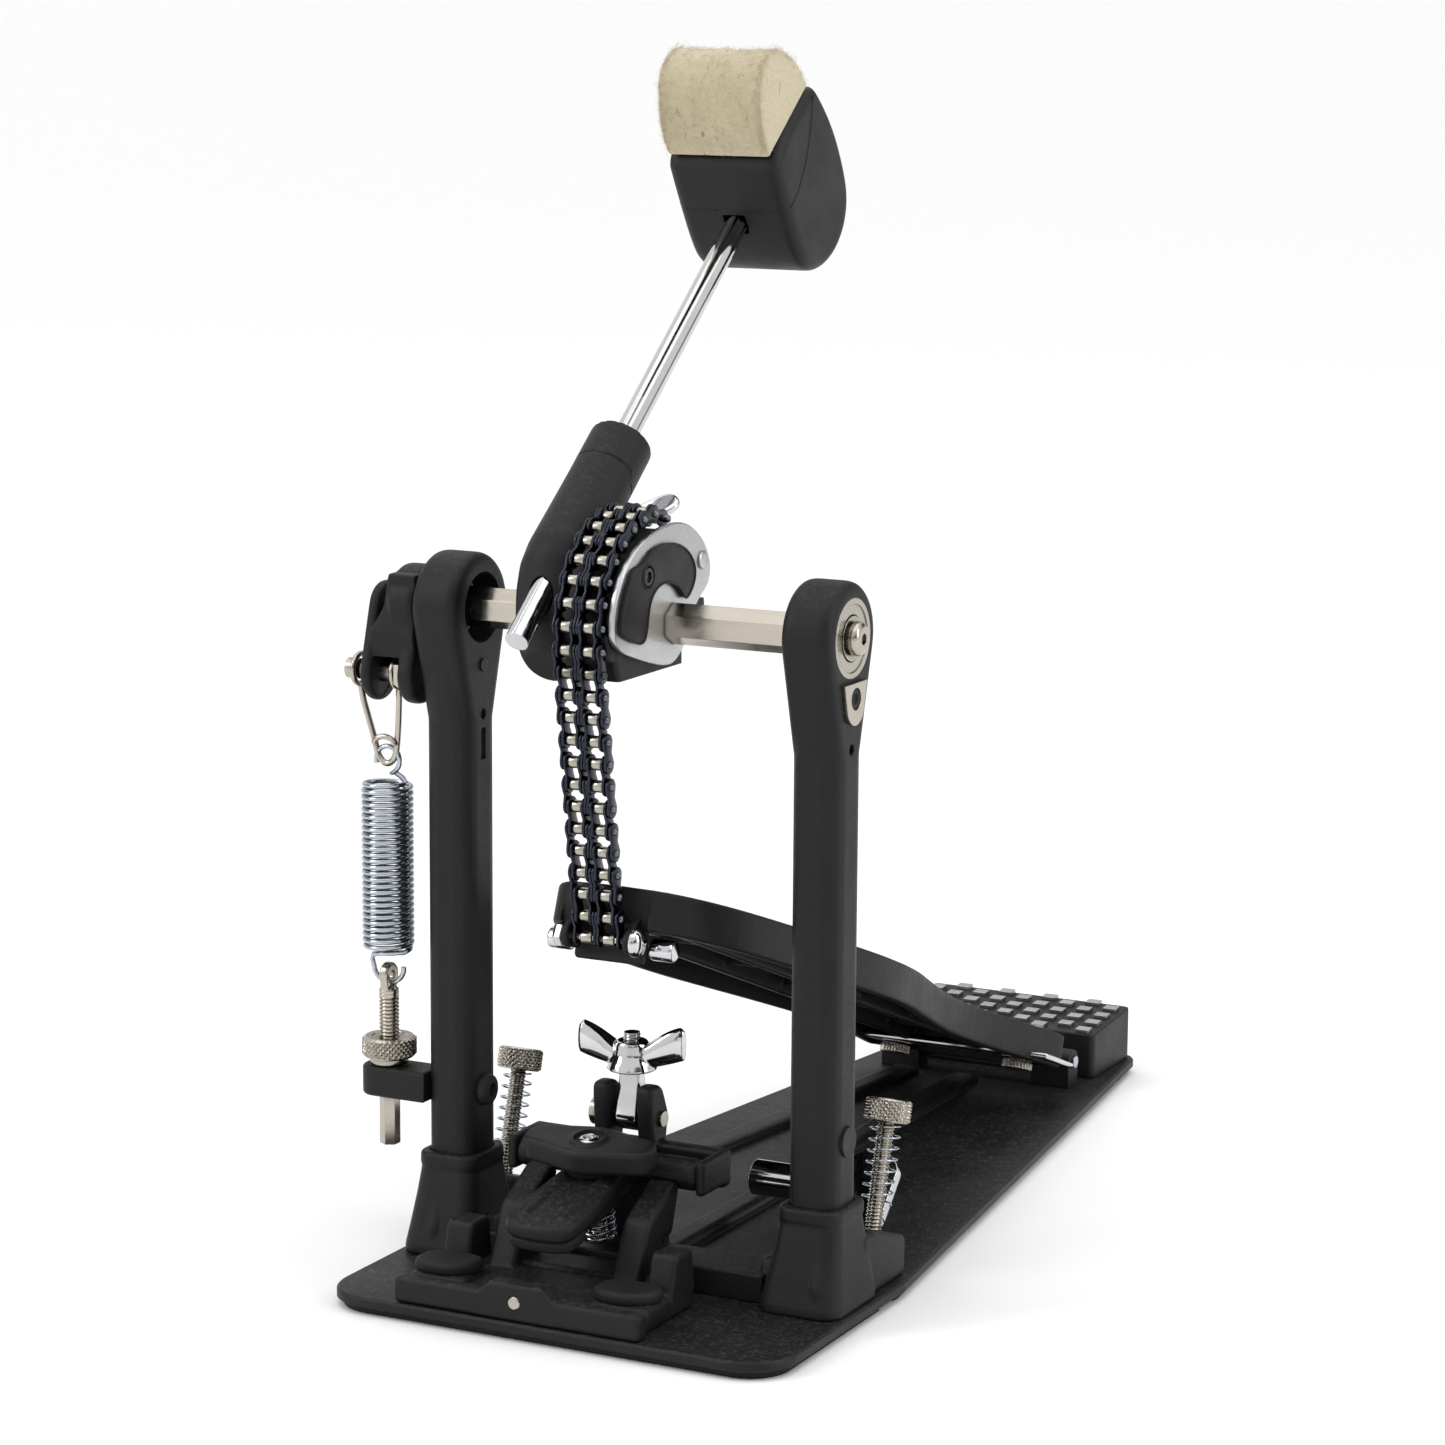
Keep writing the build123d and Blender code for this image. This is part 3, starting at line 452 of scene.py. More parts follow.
# Lays local x, y and z along y, z and x.
AXES_YZ = Matrix(((0, 0, 1, 0), (1, 0, 0, 0), (0, 1, 0, 0), (0, 0, 0, 1)))


def slab_across(mesh, outline, low, high, edge=0.8, steps=3):
    """Slab from x = low to x = high, with an outline in (y, z)."""
    slab(mesh, outline, high - low, Matrix.Translation((low, 0, 0)) @ AXES_YZ, edge, steps)


def hull_shell(mesh, circles, low, high, edge=0.8):
    """Slab across x whose outline in (y, z) wraps the given circles (y, z, radius)."""
    pts = []
    for y, z, r in circles:
        pts += circle(y, z, r, 40)
    pts = sorted(set((round(a, 4), round(b, 4)) for a, b in pts))

    def half(points):
        out = []
        for p in points:
            while len(out) > 1 and ((out[-1][0] - out[-2][0]) * (p[1] - out[-2][1])
                                    - (out[-1][1] - out[-2][1]) * (p[0] - out[-2][0])) <= 0:
                out.pop()
            out.append(p)
        return out[:-1]

    slab_across(mesh, half(pts) + half(pts[::-1]), low, high, edge)


def cylinder(radius, low, high, where, sides=32):
    """Closed cylinder along local z, in a mesh of its own."""
    mesh = Mesh()
    lathe(mesh, [(0.01, low), (radius, low), (radius, high), (0.01, high)], where, sides)
    return mesh


def box(low, high, where=Matrix.Identity(4), edge=0.4):
    """Rounded box in a mesh of its own."""
    mesh = Mesh()
    box_shell(mesh, low, high, where, edge)
    return mesh


def circle(a, b, radius, count, start=0.0):
    """Evenly spread points round a centre."""
    angles = [2 * math.pi * k / count + start for k in range(count)]
    return [(a + radius * math.cos(t), b + radius * math.sin(t)) for t in angles]


def knurl(radius, depth, count, low=-math.inf, high=math.inf):
    """Shape for lathe: crossed grooves wherever the profile reaches the radius, between two heights."""

    def shape(r, h, t):
        if r < radius or not low <= h <= high:
            return r
        turns = t * count / (2 * math.pi)
        a, b = (turns + h / 1.7) % 1.0, (turns - h / 1.7) % 1.0
        return r - depth * max(0.0, 1 - 2.6 * min(a, 1 - a, b, 1 - b))

    return shape


def smooth_closed(points, rounds=3):
    """Corner cutting, so that an outline has no kinks."""
    for _ in range(rounds):
        cut = []
        for a, b in zip(points, points[1:] + points[:1]):
            cut.append((a[0] * 0.75 + b[0] * 0.25, a[1] * 0.75 + b[1] * 0.25))
            cut.append((a[0] * 0.25 + b[0] * 0.75, a[1] * 0.25 + b[1] * 0.75))
        points = cut
    return points


def open_curve(points, steps):
    """Evenly spread samples of a smooth line through the points."""
    pts = np.array(points, float)
    s = np.concatenate([[0], np.cumsum(np.linalg.norm(np.diff(pts, axis=0), axis=1))])
    fine = np.linspace(0, s[-1], 400)
    raw = np.stack([np.interp(fine, s, pts[:, i]) for i in range(2)], 1)
    kernel = np.hanning(61)
    kernel /= kernel.sum()
    padded = np.pad(raw, ((30, 30), (0, 0)), mode="reflect", reflect_type="odd")
    soft = np.stack([np.convolve(padded[:, i], kernel, "valid") for i in range(2)], 1)
    pick = np.linspace(0, len(soft) - 1, steps).round().astype(int)
    return soft[pick]


STRIKE = Matrix.Translation((0, 0, AXLE_Z)) @ Matrix.Rotation(-TILT, 4, "X")
ROD_LINE = STRIKE @ Matrix.Translation((HUB_X, -ROD_AHEAD, 0))


def strike(x, y, z):
    """A point drawn with the rod upright about the axle, laid back to the rest angle."""
    back, up = y * math.cos(TILT) + z * math.sin(TILT), z * math.cos(TILT) - y * math.sin(TILT)
    return Vector((x, back, AXLE_Z + up))


CAST_ANGLE = 40.0


def skin(obj, voxel, rounds):
    """Castings have no sharp edges: an even, relaxed skin rounds the edges and the inner corners."""
    remesh = obj.modifiers.new("skin", "REMESH")
    remesh.mode = "VOXEL"
    remesh.voxel_size = voxel * MM
    remesh.use_smooth_shade = True
    relax = obj.modifiers.new("relax", "SMOOTH")
    relax.factor = 0.5
    relax.iterations = rounds


def cut_out(obj, cuts):
    """Cuts each shell out of the object and applies its modifiers."""
    tools = []
    for k, shell in enumerate(cuts):
        tools.append(shell.make(f"{obj.name}_cut_{k}", CAST_ANGLE))
        cut = obj.modifiers.new("cut", "BOOLEAN")
        cut.operation = "DIFFERENCE"
        cut.solver = "MANIFOLD"
        cut.object = tools[-1]
    bpy.context.view_layer.update()
    solid = bpy.data.meshes.new_from_object(obj.evaluated_get(bpy.context.evaluated_depsgraph_get()))
    obj.modifiers.clear()
    obj.data = solid
    for tool in tools:
        bpy.data.objects.remove(tool)
    if tools:
        solid.shade_smooth()
        solid.set_sharp_from_angle(angle=math.radians(CAST_ANGLE))
    return obj


def fuse(name, mesh, voxel, rounds, cuts=()):
    """Fuses overlapping closed shells into one even skin, relaxes it and cuts each given shell out."""
    obj = mesh.make(name, CAST_ANGLE)
    skin(obj, voxel, rounds)
    return cut_out(obj, cuts)


def finish_piece(obj, body, slot_name, *stands_for, material=None):
    """Puts the piece on its body, paints it and hides the CAD nodes it stands for."""
    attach(obj, body)
    paint(obj, slot_name, material)
    if stands_for:
        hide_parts(*stands_for)


# ---------------------------------------------------------------- CAD nodes
CAST = {"cross_bar": (0.5, 8), "key_clip": (0.4, 8), "heel_block": (0.5, 4)}
for node, obj in NODES.items():
    paint(obj, SLOT_OF[node])
    weld = obj.modifiers.new("weld", "WELD")
    weld.merge_threshold = 0.000002
    if node in CAST:
        skin(obj, *CAST[node])

# ---------------------------------------------------------------- roller chain
# Centre and radius of the cam's arc, the chain's pitch, its lean in degrees and the length that hangs straight.
CAM_Y, CAM_Z, CAM_R = -3.2, 191.0, 31.6
PITCH, LEAN = 6.35, 8.2
HANG = 80.6
STRAIGHT, LAST_PIN = 12, 22
TOP_ANGLE = 180.0 + LEAN


def chain_point(k):
    """(y, z) of pin k, counted up from the toe clamp: straight first, then round the cam."""
    if k == LAST_PIN:
        return 2.6, AXLE_Z + 28.4
    below = HANG - PITCH * k
    start = math.radians(TOP_ANGLE)
    y0, z0 = CAM_Y + CAM_R * math.cos(start), CAM_Z + CAM_R * math.sin(start)
    if below >= 0:
        return y0 + below * math.sin(math.radians(LEAN)), z0 - below * math.cos(math.radians(LEAN))
    angle = start + below / CAM_R
    return CAM_Y + CAM_R * math.cos(angle), CAM_Z + CAM_R * math.sin(angle)


def link_outline(length, radius, waist):
    """Figure-of-eight side plate of a link."""
    points = []
    for side in (1, -1):
        for k in range(11):
            a = math.radians(-112 + 22.4 * k) + (0 if side > 0 else math.pi)
            points.append((side * length / 2 + radius * math.cos(a), radius * math.sin(a)))
        points.append((0.0, side * waist))
    return points


def chain_links(first, last):
    """Plates with pin heads, and rollers, for pins first to last."""
    plates, rollers, pins = Mesh(), Mesh(), Mesh()
    for k in range(first, last):
        (y0, z0), (y1, z1) = chain_point(k), chain_point(k + 1)
        length, turn = math.hypot(y1 - y0, z1 - z0), math.atan2(z1 - z0, y1 - y0)
        middle = Vector((0, (y0 + y1) / 2, (z0 + z1) / 2))
        lay = Matrix.Rotation(turn, 4, "X") @ AXES_YZ
        outer = k % 2 == 0
        spots = (-7.15, -0.85, 0.1, 6.4) if outer else (-6.1, -1.75, 0.95, 5.3)
        shape = link_outline(length, 2.5 if outer else 2.65, 1.55 if outer else 1.75)
        for x in spots:
            slab(plates, shape, 0.75, Matrix.Translation(middle + Vector((x, 0, 0))) @ lay, 0.16, 2)
    half_pin = [(0.01, 8.05), (0.55, 8.0), (0.95, 7.75), (1.1, 7.3)]
    pin = [(radius, -height) for radius, height in half_pin] + half_pin[::-1]
    for k in range(first, last + 1):
        y, z = chain_point(k)
        for x in (-3.5, 3.5):
            where = placed((x - 1.72, y, z), (1, 0, 0))
            lathe(rollers, rounded_profile(1.72, 0.0, 3.4, 0.25), where, 24)
        lathe(pins, pin, placed((0, y, z), (1, 0, 0)), 20)
    return plates, rollers, pins


CHAIN_LOOKS = (("plates", "blued_steel", None), ("rollers", "bearing_steel", None),
               ("pins", "zinc", "chain_pins"))
for mesh, (part, slot_name, material) in zip(chain_links(0, STRAIGHT), CHAIN_LOOKS):
    piece = mesh.make(f"chain_run_{part}", 40)
    finish_piece(piece, "chain_run", slot_name, material=material)
    if part == "plates":
        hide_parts("chain_run")
# The wrapped chain round the cam is baked in place and put on no body.
for mesh, (part, slot_name, material) in zip(chain_links(STRAIGHT, LAST_PIN), CHAIN_LOOKS):
    piece = mesh.make(f"chain_wrap_{part}", 40)
    paint(piece, slot_name, material)
    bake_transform(piece)
    if part == "plates":
        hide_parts("chain_on_cam")

# ---------------------------------------------------------------- springs
SPRING_X = -79.5
PIN_Y, PIN_Z = -4.0, 172.0
COIL_LOW, COIL_HIGH, TURNS = 91.0, 140.0, 27


def coil_points(radius, low, high, turns, per_turn=28, taper=0.0):
    """Helix about z, whose end turns close in by the taper."""
    points = []
    total = turns * per_turn
    for k in range(total + 1):
        t = 2 * math.pi * k / per_turn
        end = min(k, total - k) / per_turn
        r = radius - taper * max(0.0, 1 - end)
        points.append((r * math.cos(t), r * math.sin(t), low + (high - low) * k / total))
    return points


spring = Mesh()
hook_low = [(5.6, -0.4, 90.4), (1.0, -2.0, 90.0), (-4.2, -1.4, 89.2), (-5.2, -0.4, 87.4)]
for a in np.linspace(0.1, math.pi * 1.03, 14):
    hook_low.append((0.1 - 5.0 * math.cos(a), 0.0, 85.6 - 4.6 * math.sin(a)))
hook_top = [(5.0, 0.4, 141.4), (2.6, 0.3, 142.8)]
for k in range(15):
    a = math.radians(-70 + k * 19)
    hook_top.append((0.3 + 3.9 * math.cos(a), 0.0, 146.3 + 4.0 * math.sin(a)))
path = hook_low[::-1] + coil_points(6.85, COIL_LOW, COIL_HIGH, TURNS, 28, 0.5) + hook_top
tube(spring, [(SPRING_X + x, PIN_Y + y, z) for x, y, z in path], 0.76, 12)
coil = spring.make("tension_spring_wire", 60)
paint(coil, "zinc")
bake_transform(coil)
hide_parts("extension_spring", "spring_top_hook")

SPUR_LEAN = math.radians(16)


def spur_frame(side):
    """Frame of a spur, its z up along the screw."""
    return Matrix.Translation((side * 60.0, 28.0, 16.0)) @ Matrix.Rotation(-SPUR_LEAN, 4, "X")


for side, word in SIDES:
    where = spur_frame(side)
    light = Mesh()
    tube(light, [where @ Vector(p) for p in coil_points(4.3, 9.8, 32.2, 7)], 0.3, 8)
    piece = light.make(f"{word}_spur_spring_wire", 60)
    finish_piece(piece, "frame", "zinc", "spur_springs")
    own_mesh(piece)
    rod = Mesh()
    screw_thread(rod, 2.5, 0.42, 1.05, -9.5, 33.2, where, 26)
    lathe(rod, [(0.01, -14.8), (0.3, -14.7), (2.1, -9.7), (2.1, -9.0), (0.01, -9.0)], where, 26)
    finish_piece(rod.make(f"{word}_spur_thread", 50), f"{word}_spur", "nickel", f"{word}_spur")
    head = Mesh()
    rim = [(0.01, 33.0), (3.4, 33.0), (6.0, 33.0), (6.45, 33.45)]
    rim += [(6.7, 33.6 + 5.3 * k / 22) for k in range(23)]
    rim += [(6.45, 39.1), (6.0, 39.5), (4.6, 39.5), (4.2, 39.1), (0.01, 39.1)]
    lathe(head, rim, where, 180, knurl(6.3, 0.62, 24, 33.6, 38.9))
    finish_piece(head.make(f"{word}_spur_head", 30), f"{word}_spur", "nickel")

# The clamp stands left of the middle. The jaw turns about a bar, and the knob's stud goes through it.
CLAMP_X = -8.5
JAW = Matrix.Translation((CLAMP_X, 0, 36.0)) @ Matrix.Rotation(math.radians(11.7), 4, "X")
KNOB = JAW @ Matrix.Translation((0, -11, 0))
return_spring = Mesh()
tube(return_spring, [KNOB @ Vector(p) for p in coil_points(5.0, -16.8, -5.8, 5, 24)], 0.5, 8)
finish_piece(return_spring.make("return_spring_wire", 60), "jaw", "zinc", "return_spring")

# ---------------------------------------------------------------- tension rod, nut
rod = Mesh()
upright = placed((SPRING_X, PIN_Y, 0), (0, 0, 1))
screw_thread(rod, 3.0, 0.45, 1.1, 49.4, 79.2, upright, 30)
hexagon = circle(0, 0, 2.58 / math.cos(math.pi / 6), 6, math.pi / 6)
slab(rod, hexagon, 16.6, Matrix.Translation((SPRING_X, PIN_Y, 33.0)), 0.35, 2)
finish_piece(rod.make("tension_rod_thread", 40), "tension_rod", "nickel", "tension_rod")

nut = Mesh()
rim = [(3.05, 59.3), (7.2, 59.3), (7.6, 59.8)] + [(8.0, 60.0 + 4.6 * k / 18) for k in range(19)]
rim += [(7.55, 64.8), (6.9, 65.3), (5.2, 65.3), (4.9, 64.9), (3.05, 64.9)]
lathe(nut, rim, upright, 228, knurl(7.7, 0.60, 30))
lathe(nut, rounded_profile(5.6, 57.3, 59.4, 0.35, 3.05), upright, 40)
finish_piece(nut.make("tension_nut_knurled", 35), "tension_nut", "nickel", "tension_nut")

# ---------------------------------------------------------------- beater felt
# Half width of the felt, and the line where it meets the head, toward the drum.
FELT_X = 16.6
LINE_V = -24.0


def head_point(x, u, v):
    """x across, u up the rod, v toward the drum side of the rod."""
    return strike(HUB_X + x, -ROD_AHEAD + v, 141.0 + u)


# Outline of the felt as (up the rod, toward the drum) from the line where it leaves the head.
FELT_LINE = [(0.3, 0.4), (0.4, -5), (2.6, -12), (8.5, -20.5), (16, -22.8), (23.5, -20.5), (29.4, -12),
             (31.6, -5), (31.7, 0.4)]


def felt_block():
    """Pressed felt pad: curved striking face, rounded rims, slightly uneven surface."""
    line = open_curve([(u, LINE_V + v) for u, v in FELT_LINE], 46)
    middle = np.array([16.0, LINE_V - 6.0])
    across = np.linspace(-1, 1, 41)
    mesh = Mesh()
    points = []
    rims = [(-FELT_X, 0.93), (-FELT_X, 0.965), (-FELT_X + 0.35, 0.985), (-FELT_X + 1.0, 0.997)]
    rows = rims + [(a * (FELT_X - 1.8), 1.0) for a in across] + [(-x, s) for x, s in reversed(rims)]
    bumps = rng.normal(0, 0.07, (len(rows), len(line)))
    for r, (x, share) in enumerate(rows):
        for c, p in enumerate(line):
            q = middle + (p - middle) * share
            out = (p - middle) / np.linalg.norm(p - middle)
            wave = 0.18 * math.sin(x * 0.5 + c * 0.21) * math.sin(c * 0.33 + 1.0)
            q = q + out * (bumps[r, c] + wave) * (1 if 0 < c < len(line) - 1 else 0)
            points.append(head_point(x, q[0], q[1]))
    count, last = len(line), (len(rows) - 1) * len(line)
    faces = grid_faces(len(rows), count, False)
    faces.append(tuple(reversed(range(count))))
    faces.append(tuple(range(last, last + count)))
    faces.append(tuple(range(0, last + 1, count)))
    faces.append(tuple(reversed(range(count - 1, last + count, count))))
    mesh.add(points, faces)
    return mesh.make("felt_pad", 60), line, middle


felt, felt_curve, felt_middle = felt_block()
finish_piece(felt, "beater_head", "felt", "beater_felt")


def felt_fibres(amount):
    """Loose wool fibres lying on the pad and standing off its edges."""
    mesh = Mesh()
    for _ in range(amount):
        c = rng.integers(1, len(felt_curve) - 1)
        p = felt_curve[c] + (felt_curve[c + 1] - felt_curve[c]) * rng.random()
        rim = rng.random() < 0.38
        x = rng.choice([-1, 1]) * (FELT_X - rng.random() * 1.4) if rim else rng.uniform(-FELT_X, FELT_X)
        spread = (p - felt_middle) / np.linalg.norm(p - felt_middle)
        out = strike(0, spread[1], spread[0]) - strike(0, 0, 0)
        lean = Vector(rng.normal(0, 1, 3)).normalized()
        if rim:
            out = (out * 0.5 + Vector((math.copysign(1, x), 0, 0)) * 0.8).normalized()
        lean = (lean - out * lean.dot(out)).normalized()
        start = head_point(x, p[0], p[1]) - out * (0.45 if rim else 0.25)
        length = rng.uniform(0.7, 2.6)
        rise = rng.uniform(0.10, 0.55)
        bend = Vector(rng.normal(0, 0.35, 3))
        path = []
        for t in (0, 0.33, 0.66, 1):
            path.append(start + lean * length * t + out * rise * length * math.sin(t * 2.6) + bend * t * t)
        tube(mesh, path, rng.uniform(0.018, 0.032), 3)
    return mesh.make("felt_fibres", 80)


fibres = felt_fibres(5200)
finish_piece(fibres, "beater_head", "felt")

# ---------------------------------------------------------------- beater head
ROD_HOLE = 3.5


def head_body():
    """Moulded plastic head: rounded block with an open slot for the rod."""
    outline = [(0.0, -24.0), (-2.0, -12), (-4.2, 6), (-3.8, 15), (0.5, 21.5), (8, 25.8), (17, 27.3),
               (26, 25.2), (33, 19), (36, 9), (37.4, -4), (35.5, -18), (33.0, -24.0)]
    upright_line = [(-ROD_AHEAD + v, 141.0 + u) for u, v in smooth_closed(outline, 2)]
    body = Mesh()
    slab(body, upright_line, 36.4, STRIKE @ Matrix.Translation((HUB_X - 18.2, 0, 0)) @ AXES_YZ, 3.4, 6)
    slot = box((HUB_X - 3.7, -ROD_AHEAD - 3.55, 128), (HUB_X + 3.7, -ROD_AHEAD + 3.0, 150.5), STRIKE, 0.8)
    return fuse("beater_block", body, 0.6, 3, [slot, cylinder(ROD_HOLE, 120, 170.6, ROD_LINE)])


finish_piece(head_body(), "beater_head", "black_plastic", "beater_body")
seam = Mesh()
seam_line = [(-0.4, -5.0), (6, -5.4), (14, -8.2), (21, -12.5), (26.5, -17.2), (30.2, -21.0)]
for edge in (-18.2, 18.2):
    tube(seam, [head_point(edge, u, v) for u, v in open_curve(seam_line, 26)], 0.16, 6)
for start, end in ((-15.4, -4.9), (4.9, 15.4)):
    tube(seam, [head_point(x, -3.0 + 0.02 * abs(x), -5.0) for x in np.linspace(start, end, 14)], 0.16, 6)
finish_piece(seam.make("beater_seam"), "beater_head", "black_plastic")

# ---------------------------------------------------------------- beater hub
COLLAR_LOW, COLLAR_HIGH = 31.0, 34.0


def hub_shell():
    """Barrel that swells toward the axle, drawn with the rod upright."""
    mesh = Mesh()
    # Each ring is its height, half width, half depth and how far it has moved back to the axle.
    rings = [(46.3, 9.2, 9.2, 0.0), (28, 9.3, 9.3, 0.0), (12, 9.8, 9.9, 0.4), (2, 10.6, 10.8, 1.4),
             (-4, 11.2, 11.4, 3.6), (-9, 11.6, 12.0, 8.0), (-14, 11.2, 12.0, 12.6), (-18, 10.4, 11.0, 15.2),
             (-21, 8.6, 8.8, 16.6), (-23, 6.5, 6.5, 17.0)]
    heights = np.linspace(46.3, -23, 44)
    keys = np.array(rings[::-1])
    sides = 40
    points = []
    for z in heights:
        rx, ry, shift = (float(np.interp(z, keys[:, 0], keys[:, i])) for i in (1, 2, 3))
        for k in range(sides):
            t = 2 * math.pi * k / sides
            points.append(ROD_LINE @ Vector((rx * math.cos(t), shift + ry * math.sin(t), z)))
    faces = [tuple(reversed(f)) for f in grid_faces(len(heights), sides)]
    last = (len(heights) - 1) * sides
    mesh.add(points, faces + [tuple(range(sides)), tuple(reversed(range(last, last + sides)))])
    return mesh


def collar_groove():
    """Groove round the barrel, stepping down on the clamp's side."""
    ring = []
    for k in range(72):
        t = 2 * math.pi * k / 72
        height = float(np.interp(math.cos(t - 0.9), (0.42, 0.62), (COLLAR_HIGH, COLLAR_LOW)))
        ring.append(ROD_LINE @ Vector((9.35 * math.cos(t), 9.35 * math.sin(t), height)))
    groove = Mesh()
    tube(groove, ring, 0.42, 8, True)
    return groove


body = hub_shell()
web = Mesh()
hull_shell(web, [(0, 0, 12.5), (-12, -9, 9.0), (-14, 12, 5.0)], HUB_X - 8.4, HUB_X + 8.4, 2.0)
body.add([STRIKE @ Vector(p) for p in web.points], web.faces)
hub = fuse("hub_casting", body, 0.45, 6, [cylinder(3.75, -60, 60, ROD_LINE), collar_groove()])
finish_piece(hub, "shaft", "black_casting", "beater_hub", "hub_collar")

# ---------------------------------------------------------------- flat eye of the tension rod, spring arm
eye_tab = Mesh()
tab = [(PIN_Y - 2.7, 78.5), (PIN_Y + 2.7, 78.5)]
for a in np.linspace(-0.35, math.pi + 0.35, 16):
    tab.append((PIN_Y + 3.5 * math.cos(a), 83.4 + 3.6 * math.sin(a)))
slab_across(eye_tab, tab, SPRING_X - 1.3, SPRING_X + 1.3, 0.5)
lathe(eye_tab, [(0.01, 76.5), (2.9, 76.5), (2.9, 79.0), (1.6, 80.6), (0.01, 80.6)], upright, 30)
eye_hole = cylinder(1.5, -4, 4, placed((SPRING_X, PIN_Y, 83.2), (1, 0, 0)), 30)
finish_piece(fuse("tension_rod_eye", eye_tab, 0.25, 3, [eye_hole]), "tension_rod", "nickel")

arm = Mesh()
turn = np.linspace(0, math.pi / 2, 7)
outline = [(-64.5, PIN_Y - 6), (-64.5, PIN_Y + 6)]
outline += [(SPRING_X - 2.7 - 4.8 * math.sin(a), PIN_Y + 1.2 + 4.8 * math.cos(a)) for a in turn]
outline += [(SPRING_X - 2.7 - 4.8 * math.cos(a), PIN_Y - 1.2 - 4.8 * math.sin(a)) for a in turn]
slab(arm, outline, 9.0, Matrix.Translation((0, 0, 48)), 1.1, 4)
finish_piece(arm.make("spring_arm", 40), "frame", "black_casting", "spring_bracket")

# ---------------------------------------------------------------- wing of the hub screw
wing = Mesh()
base_y = -ROD_AHEAD + 12.5
behind = STRIKE @ placed((HUB_X, 0, 30), (0, 1, 0))
lathe(wing, [(0.01, base_y), (4.3, base_y), (4.7, base_y + 0.5), (4.3, base_y + 3.6), (3.0, base_y + 5.4),
             (0.01, base_y + 5.4)], behind, 40)
blade = smooth_closed([(-2.8, 1.2), (-3.7, 7), (-4.1, 14), (-3.2, 18.4), (0, 19.6), (3.2, 18.4), (4.1, 14),
                       (3.7, 7), (2.8, 1.2)], 2)
root = STRIKE @ Matrix.Translation((HUB_X, base_y + 5.4, 30))
for turned, share in ((40, 1.0), (220, 0.6)):
    where = root @ Matrix.Rotation(math.radians(turned), 4, "Y") @ Matrix.Rotation(math.radians(82), 4, "X")
    slab(wing, [(x, y * share) for x, y in blade], 2.3, where, 0.8, 3)
finish_piece(fuse("hub_screw_forged", wing, 0.3, 4), "hub_screw", "chrome", "hub_wing_screw")

# ---------------------------------------------------------------- screws on the frame
dark = Mesh()
clip = placed((65.0, 0, AXLE_Z - 16.4), (1, 0, 0))
lathe(dark, [(0.01, 0.02), (3.0, 0.02), (3.0, 0.7), (2.75, 1.0), (1.5, 1.0), (1.3, 0.4), (0.01, 0.4)],
      clip, 36)
left_screw = placed((-50.0, 0, 52.0), (1, 0, 0))
lathe(dark, [(0.01, -14.9), (3.3, -14.9), (3.3, 0.0), (4.6, 0.0), (4.6, 1.0), (4.2, 2.0), (3.2, 2.6),
             (1.9, 2.6), (1.7, 1.2), (0.01, 1.2)], left_screw, 40)
finish_piece(dark.make("frame_socket_screws", 35), "frame", "nickel", "frame_screws", material="tread")
pin = Mesh()
lip = placed((CLAMP_X, 0, 10.5), (0, 1, 0))
lathe(pin, [(0.01, -56.3), (1.6, -56.3), (1.9, -56.0), (1.9, -49.7), (0.01, -49.7)], lip, 30)
finish_piece(pin.make("lip_pin", 35), "frame", "nickel")


# ---------------------------------------------------------------- feet of the posts
def foot_shell(side):
    """Foot of a post: drawn-in socket with a soft front corner, a collar, and a box behind for the spur."""
    mesh = Mesh()
    x, sides = side * POST_X, 48
    # Each level is its height, half width, half depth and corner radius.
    levels = [(5.0, 12.6, 15.6, 6.0), (7.5, 12.4, 15.4, 5.6), (12, 11.6, 14.2, 5.2), (22, 10.2, 12.0, 5.0),
              (29.6, 9.3, 10.5, 4.6), (30.4, 9.6, 10.8, 4.6), (33.4, 9.5, 10.7, 4.6), (34.0, 9.0, 10.2, 4.4)]
    points = []
    for z, half_x, half_y, corner in levels:
        below = (31 - z) / 26
        for k in range(sides):
            a = 2 * math.pi * (k + 0.5) / sides
            across = math.copysign(half_x - corner, math.cos(a)) + corner * math.cos(a)
            along = math.copysign(half_y - corner, math.sin(a)) + corner * math.sin(a)
            points.append((x - side * 0.5 * below + across, along - max(below, 0.0), z))
    last = (len(levels) - 1) * sides
    caps = [tuple(reversed(range(sides))), tuple(range(last, last + sides))]
    mesh.add(points, grid_faces(len(levels), sides) + caps)
    x0, x1 = sorted((x - side * 8, x + side * 10.5))
    hull_shell(mesh, [(10, 7, 2), (32, 7, 2), (32, 15, 2), (13, 21, 2), (8, 21, 2)], x0, x1, 1.2)
    inner = x - side * 9
    x0, x1 = sorted((inner, inner - side * 7))
    hull_shell(mesh, [(-7, 7, 2), (-4, 15, 2), (7, 15, 2), (9, 7, 2)], x0, x1, 1.4)
    front = [(-14.8, 6.2, 1.2), (-13.6, 13.0, 1.6), (-9.6, 26.0, 1.2)]
    hull_shell(mesh, front, x + side * 3.5, x + side * 3.5 + 4.0, 1.2)
    return mesh


for side, word in SIDES:
    x = side * POST_X
    socket = box((x - 7.5, -8.5, 15), (x + 7.5, 8.5, 40), edge=3.5)
    hole = cylinder(2.65, -30, 30, spur_frame(side), 30)
    foot = fuse(f"{word}_foot_casting", foot_shell(side), 0.45, 5, [socket, hole])
    finish_piece(foot, "frame", "black_casting", f"{word}_foot")

